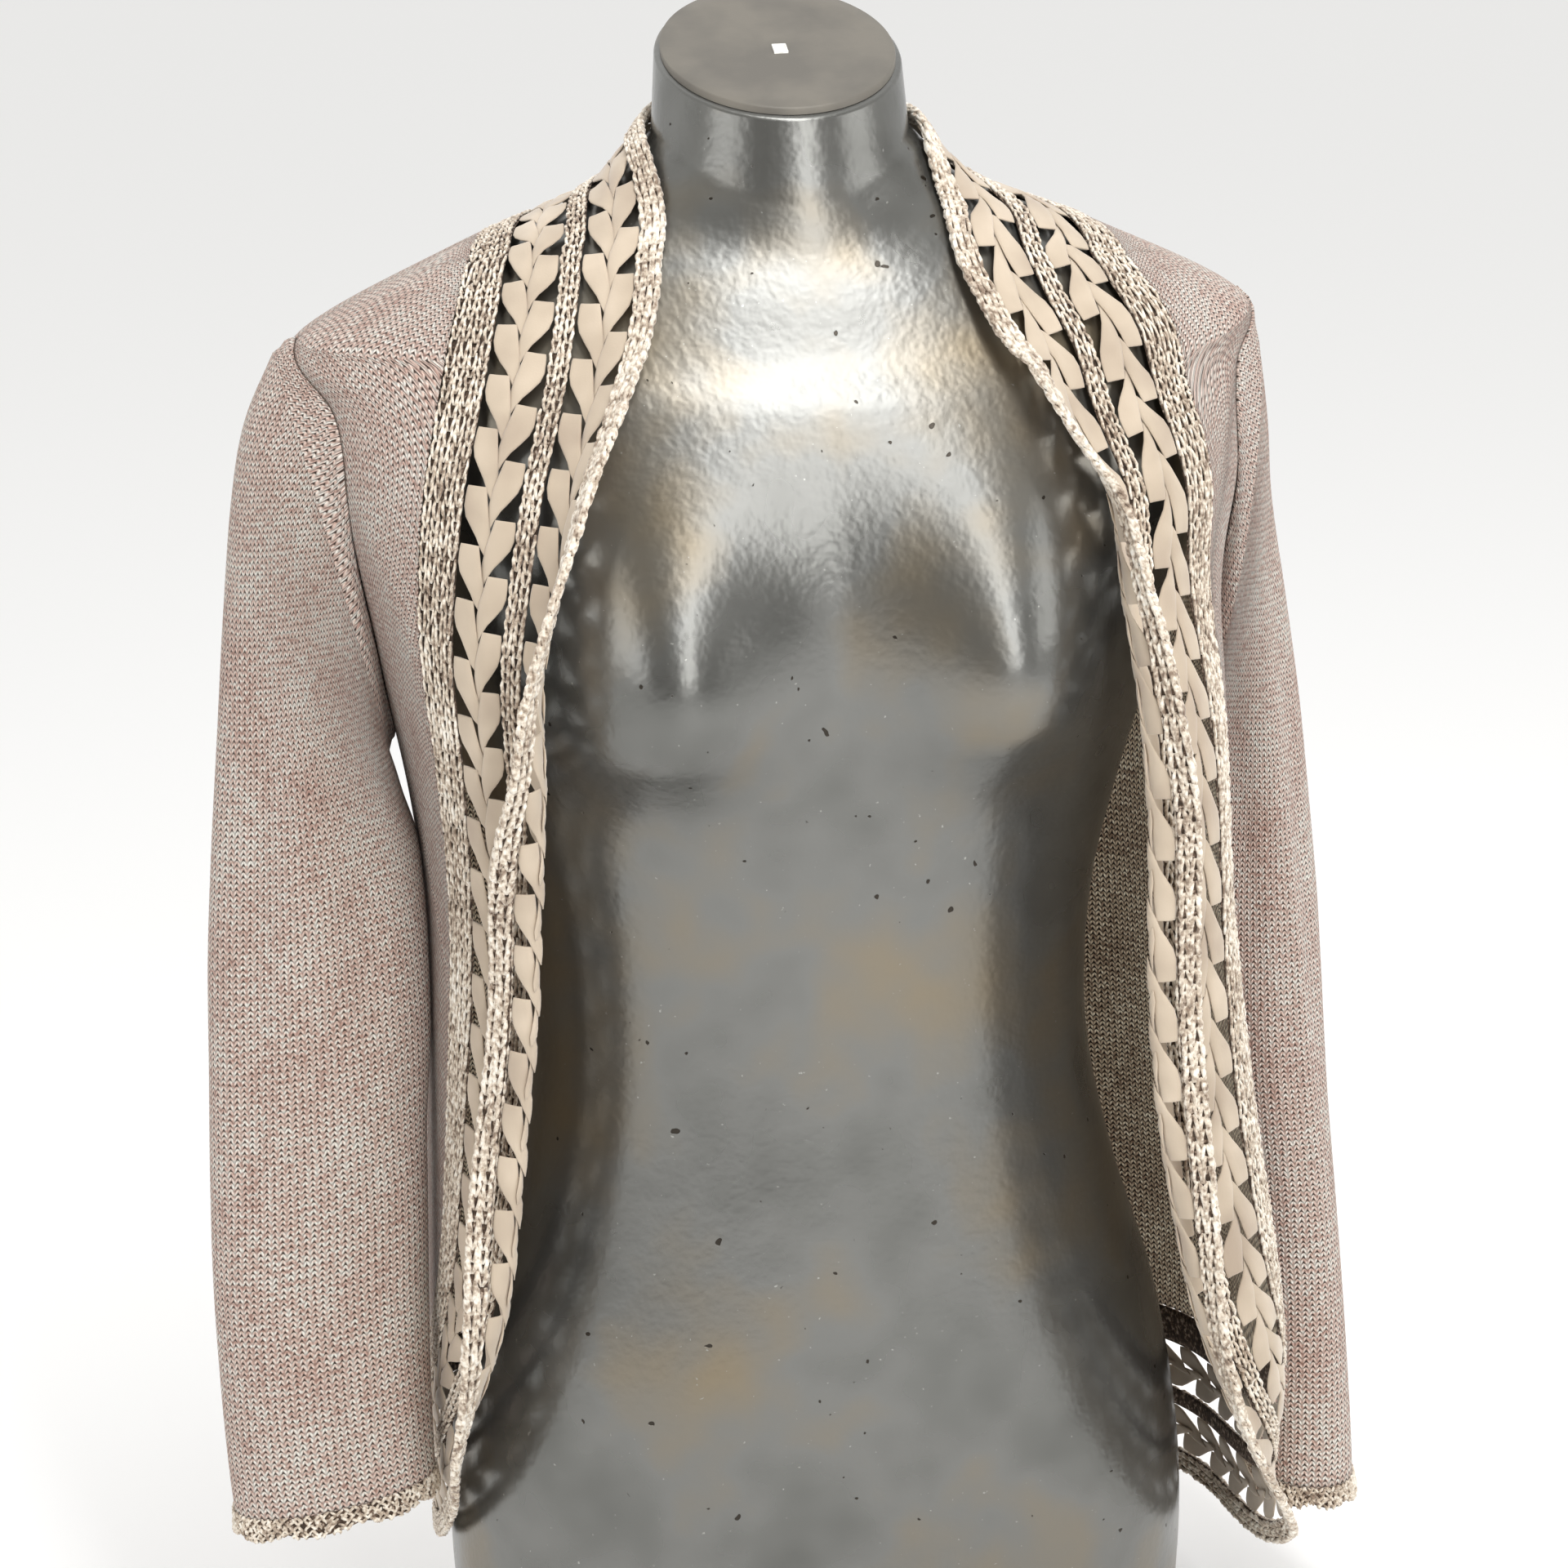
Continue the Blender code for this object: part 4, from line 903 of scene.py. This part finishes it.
def braid_mesh(name, centre, parity, material):
    turns = 2 * math.pi * np.arange(LEAF_SIDES) / LEAF_SIDES
    flat_x = np.copysign(np.abs(np.cos(turns)) ** 0.75, np.cos(turns))
    flat_z = np.copysign(np.abs(np.sin(turns)) ** 0.8, np.sin(turns))
    blunt = np.sqrt(1 - (1 - np.minimum(1, (LEAF_ALONG + 0.15) / 1.35)) ** 2)
    tip = np.clip((32 - LEAF_ALONG) / 8, 0.35, 1)
    mid = (LEAF_OUTER + LEAF_INNER) / 2
    half = (LEAF_INNER - LEAF_OUTER) / 2
    across = mid[:, None] + half[:, None] * flat_x
    under_line = np.interp(LEAF_ALONG, CROSS_ALONG, CROSS_AT, left=6.0)[:, None]
    under = np.clip((across - under_line + TUCK_START) / TUCK_SPREAD, 0, 1)
    under = under * under * (3 - 2 * under)
    over = np.clip((across + CROWN_START) / CROWN_SPREAD, 0, 1)
    over = 0.05 + CROWN_RISE * over * over * (3 - 2 * over)
    height = over * (1 - under) - TUCK_DEPTH * under
    height = height + LEAF_HALF_THICKNESS * (blunt * tip)[:, None] * flat_z
    folds, faces = [], []
    for section, steps in enumerate(SECTION_STEPS):
        start, end = section_starts[section], section_starts[section + 1]
        step = (end - start) / steps
        for k in range(steps):
            way = 1 if (k % 2 == 0) == parity else -1
            puff = wear.normal(0, 0.12)
            stretch = 1 + wear.normal(0, 0.015)
            length = start + step * (k + (LEAF_ALONG[:, None] - LEAF_LEAD) / LEAF_STEP * stretch)
            width = centre + way * across + wear.normal(0, 0.15)
            base = len(folds) * across.size
            folds.append(trim_place(length, width, height + puff))
            faces += [[base + i for i in face][::way] for face in tube_faces(*across.shape)]
    return add_mesh(name, np.array(folds), faces, (material,))


# Cotton jersey: smooth and matt, with a fine rib of 0.8 mm and a slight change of tone from fold to fold.
JERSEY_TONES = (0.3, "#b3a290"), (0.5, "#c1b19d"), (0.7, "#cdbda9")
jersey, tree, shader = new_material("cotton_jersey_strip")
place = node(tree, "TexCoord", out="Object")
tone = node(tree, "TexNoise", {"Vector": place}, Scale=38.0, Detail=2.0)
jersey_tone = node(tree, "ValToRGB", {"Fac": tone}, JERSEY_TONES)
rib = node(tree, "TexNoise", {"Vector": place}, Scale=1200.0, Detail=2.0)
rib_bump = node(tree, "Bump", {"Height": rib}, Strength=0.25, Distance=0.0002)
crease = node(tree, "TexNoise", {"Vector": place}, Scale=120.0, Detail=1.0)
creased = node(tree, "Bump", {"Height": crease, "Normal": rib_bump}, Strength=0.25, Distance=0.001)
feed(tree, shader, {"Base Color": jersey_tone, "Roughness": 0.9, "Sheen Weight": 0.35, "Normal": creased})

for word, centre, parity in (("outer", 23.0, True), ("inner", 56.0, False)):
    braid = braid_mesh(f"{word}_plait", centre, parity, jersey)
    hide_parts(*[f"{word}_braid_{s}" for s in SECTIONS])
    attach(braid, "root")


# Cuff edgings
# A short scalloped crochet edging in the knit's own yarn finishes each sleeve: rows of small arches
# worked round the cuff, the last one in shallow shells.
EDGING_LENGTH, EDGING_FLARE = 11.0, 1.5
SCALLOPS, SCALLOP_DEPTH = 9, 3.0
ARCH_ROWS, ARCH_PITCH, ARCH_RADIUS, CUFF_POINTS = (0.05, 0.24, 0.43, 0.62, 0.81), 3.6, 0.68, 144


def edging_place(ring_points, before_points, around, drop, height):
    """Points of the edging: share of the way round, drop below the sleeve, height off its middle."""
    count = len(ring_points)
    at = np.mod(around, 1) * count
    i = np.floor(at).astype(int) % count
    j = (i + 1) % count
    f = (at - np.floor(at))[..., None]
    end = ring_points[i] * (1 - f) + ring_points[j] * f
    before = before_points[i] * (1 - f) + before_points[j] * f
    down = unit(end - before)
    outward = square_to(unit(end - ring_points.mean(axis=0)), down)
    raised = height + EDGING_FLARE * drop / EDGING_LENGTH
    return end + down * drop[..., None] + outward * raised[..., None]


def scallop_drop(around):
    """How far the edging's lower edge lies below the sleeve at a share of the way round."""
    shell = np.abs(np.sin(math.pi * SCALLOPS * around))
    return EDGING_LENGTH - SCALLOP_DEPTH + SCALLOP_DEPTH * shell


for side, word in ((1, "left"), (-1, "right")):
    end, before = sleeve_ring(side, 12, CUFF_POINTS), sleeve_ring(side, 11.5, CUFF_POINTS)
    girth = float(np.linalg.norm(np.roll(end, -1, axis=0) - end, axis=-1).sum())
    shares = np.arange(CUFF_POINTS) / CUFF_POINTS
    drops = np.stack([SEAM_GAP + (scallop_drop(shares) - 1.2) * f for f in np.linspace(0, 1, 4)])
    on_cuff = partial(edging_place, end, before)
    grid = on_cuff(np.broadcast_to(shares, drops.shape), drops, 0.0)
    down = np.linspace(0, EDGING_LENGTH, 4)[:, None]
    uv = stack(np.append(shares, 1) * girth, down)
    if side > 0:
        grid, uv = grid[::-1], uv[::-1]
    # the ground under the arches is a sheet of painted shade
    strip = add_sheet(f"cuff_ground_{word}", grid[::-1], uv[::-1], (ground_shade,), 1.0, wrap=True)
    legs = []
    for row, share_down in enumerate(ARCH_ROWS):
        count = int(round(girth / ARCH_PITCH))
        for way in (-1, 1):
            shift = 0.5 * (row % 2) + wear.normal(0, 0.2, (count, 1))
            around = (np.arange(count)[:, None] + shift + way * np.array((0.05, 0.3, 0.5, 0.45))) / count
            low = scallop_drop(around)
            drop = low * share_down + np.array((-0.4, 0.2, 1.2, 2.2)) * low / EDGING_LENGTH
            drop = drop + wear.normal(0, 0.25, (count, 1))
            for face in (-1, 1):
                legs.append(stack(around, drop, face * np.array((0.3, 1.1, 1.0, 0.2))))
    arches = stitch_mesh(f"cuff_arches_{word}", on_cuff, np.concatenate(legs), ARCH_RADIUS)
    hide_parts(f"cuff_edging_{word}")
    for piece in (strip, arches):
        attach(piece, "root")


# Stage
# A plain pale floor, soft studio light from above and in front, and the photograph's viewpoint.
bpy.ops.object.select_all(action="DESELECT")
bpy.ops.mesh.primitive_plane_add(size=40)
floor = bpy.context.object
floor.name = "floor"
paper, tree, shader = new_material("pale_paper_floor")
feed(tree, shader, {"Base Color": colour("#f4f4f4"), "Roughness": 0.9})
feed(tree, shader, {"Emission Color": colour("#ffffff"), "Emission Strength": 0.1})
floor.data.materials.append(paper)

world = bpy.data.worlds.new("studio")
world.use_nodes = True
bpy.context.scene.world = world
tree = world.node_tree
way = node(tree, "TexCoord", out="Generated")
front_share = node(tree, "SeparateXYZ", {"Vector": way}, out="Y")
brighter = node(tree, "MapRange", {"Value": front_share}, From_Min=-0.9, From_Max=0.5)
# soft light and dark patches, as a real room gives a mirror-like form
patch = node(tree, "TexNoise", {"Vector": way}, Scale=2.6, Detail=1.0)
patched = node(tree, "Math", {0: patch, 1: 1.1, 2: -0.5}, operation="MULTIPLY_ADD")
room = node(tree, "Math", {0: brighter, 1: patched}, operation="ADD")
ROOM_TONES = (0.0, "#5f5c56"), (0.5, "#bcbbb7"), (1.0, "#ffffff")
room_tone = node(tree, "ValToRGB", {"Fac": room}, ROOM_TONES)
feed(tree, tree.nodes["Background"], {"Color": room_tone, "Strength": 1.15})


def aim(made, aside, upward, away, place):
    """Turn and place an object by its own three axes."""
    rows = np.stack((aside, upward, away, place), axis=-1).tolist()
    made.matrix_world = Matrix([*rows, [0, 0, 0, 1]])


LIGHTS = {
    # place, what it is turned to, width, length and power
    "ceiling_panel": ((0.25, -0.9, 2.4), (0.05, 0, 0.5), 0.5, 1.6, 24.0),
    "front_window": ((0.75, -3.0, 1.9), (0, 0, 0.5), 0.7, 2.6, 34.0),
    "left_fill": ((-2.6, -2.2, 1.5), (0, 0, 0.4), 1.6, 1.6, 18.0),
    "right_fill": ((2.2, -1.4, 1.3), (0, 0, 0.4), 1.2, 1.2, 10.0),
}
for word, (place, target, width, length, power) in LIGHTS.items():
    light = bpy.data.lights.new(word, "AREA")
    light.shape = "RECTANGLE"
    light.size = width
    light.size_y = length
    light.energy = power
    away = unit(np.array(place, float) - np.array(target, float))
    aside = unit(np.cross((0, 0, 1.0), away))
    aim(add_object(word, light), aside, np.cross(away, aside), away, place)

TURN, PITCH, ROLL = math.radians(-10), math.radians(16), math.radians(-1.6)
EYE_AWAY, EYE_HEIGHT, EYE_ASIDE = 1.65, 0.917, -0.006
ahead = np.array((-math.sin(TURN), math.cos(TURN), 0))
across = np.array((math.cos(TURN), math.sin(TURN), 0))
up = np.array((0, 0, 1.0))
eye = -ahead * EYE_AWAY + up * EYE_HEIGHT + across * EYE_ASIDE
looking = ahead * math.cos(PITCH) - up * math.sin(PITCH)
lifted = ahead * math.sin(PITCH) + up * math.cos(PITCH)
right = across * math.cos(ROLL) + lifted * math.sin(ROLL)
top = -across * math.sin(ROLL) + lifted * math.cos(ROLL)
lens = bpy.data.cameras.new("camera")
lens.lens = 87.56
lens.sensor_width = 36
camera = add_object("camera", lens)
aim(camera, right, top, -looking, eye)
bpy.context.scene.camera = camera
bpy.context.scene.view_settings.view_transform = "Standard"
bpy.context.scene.view_settings.look = "None"
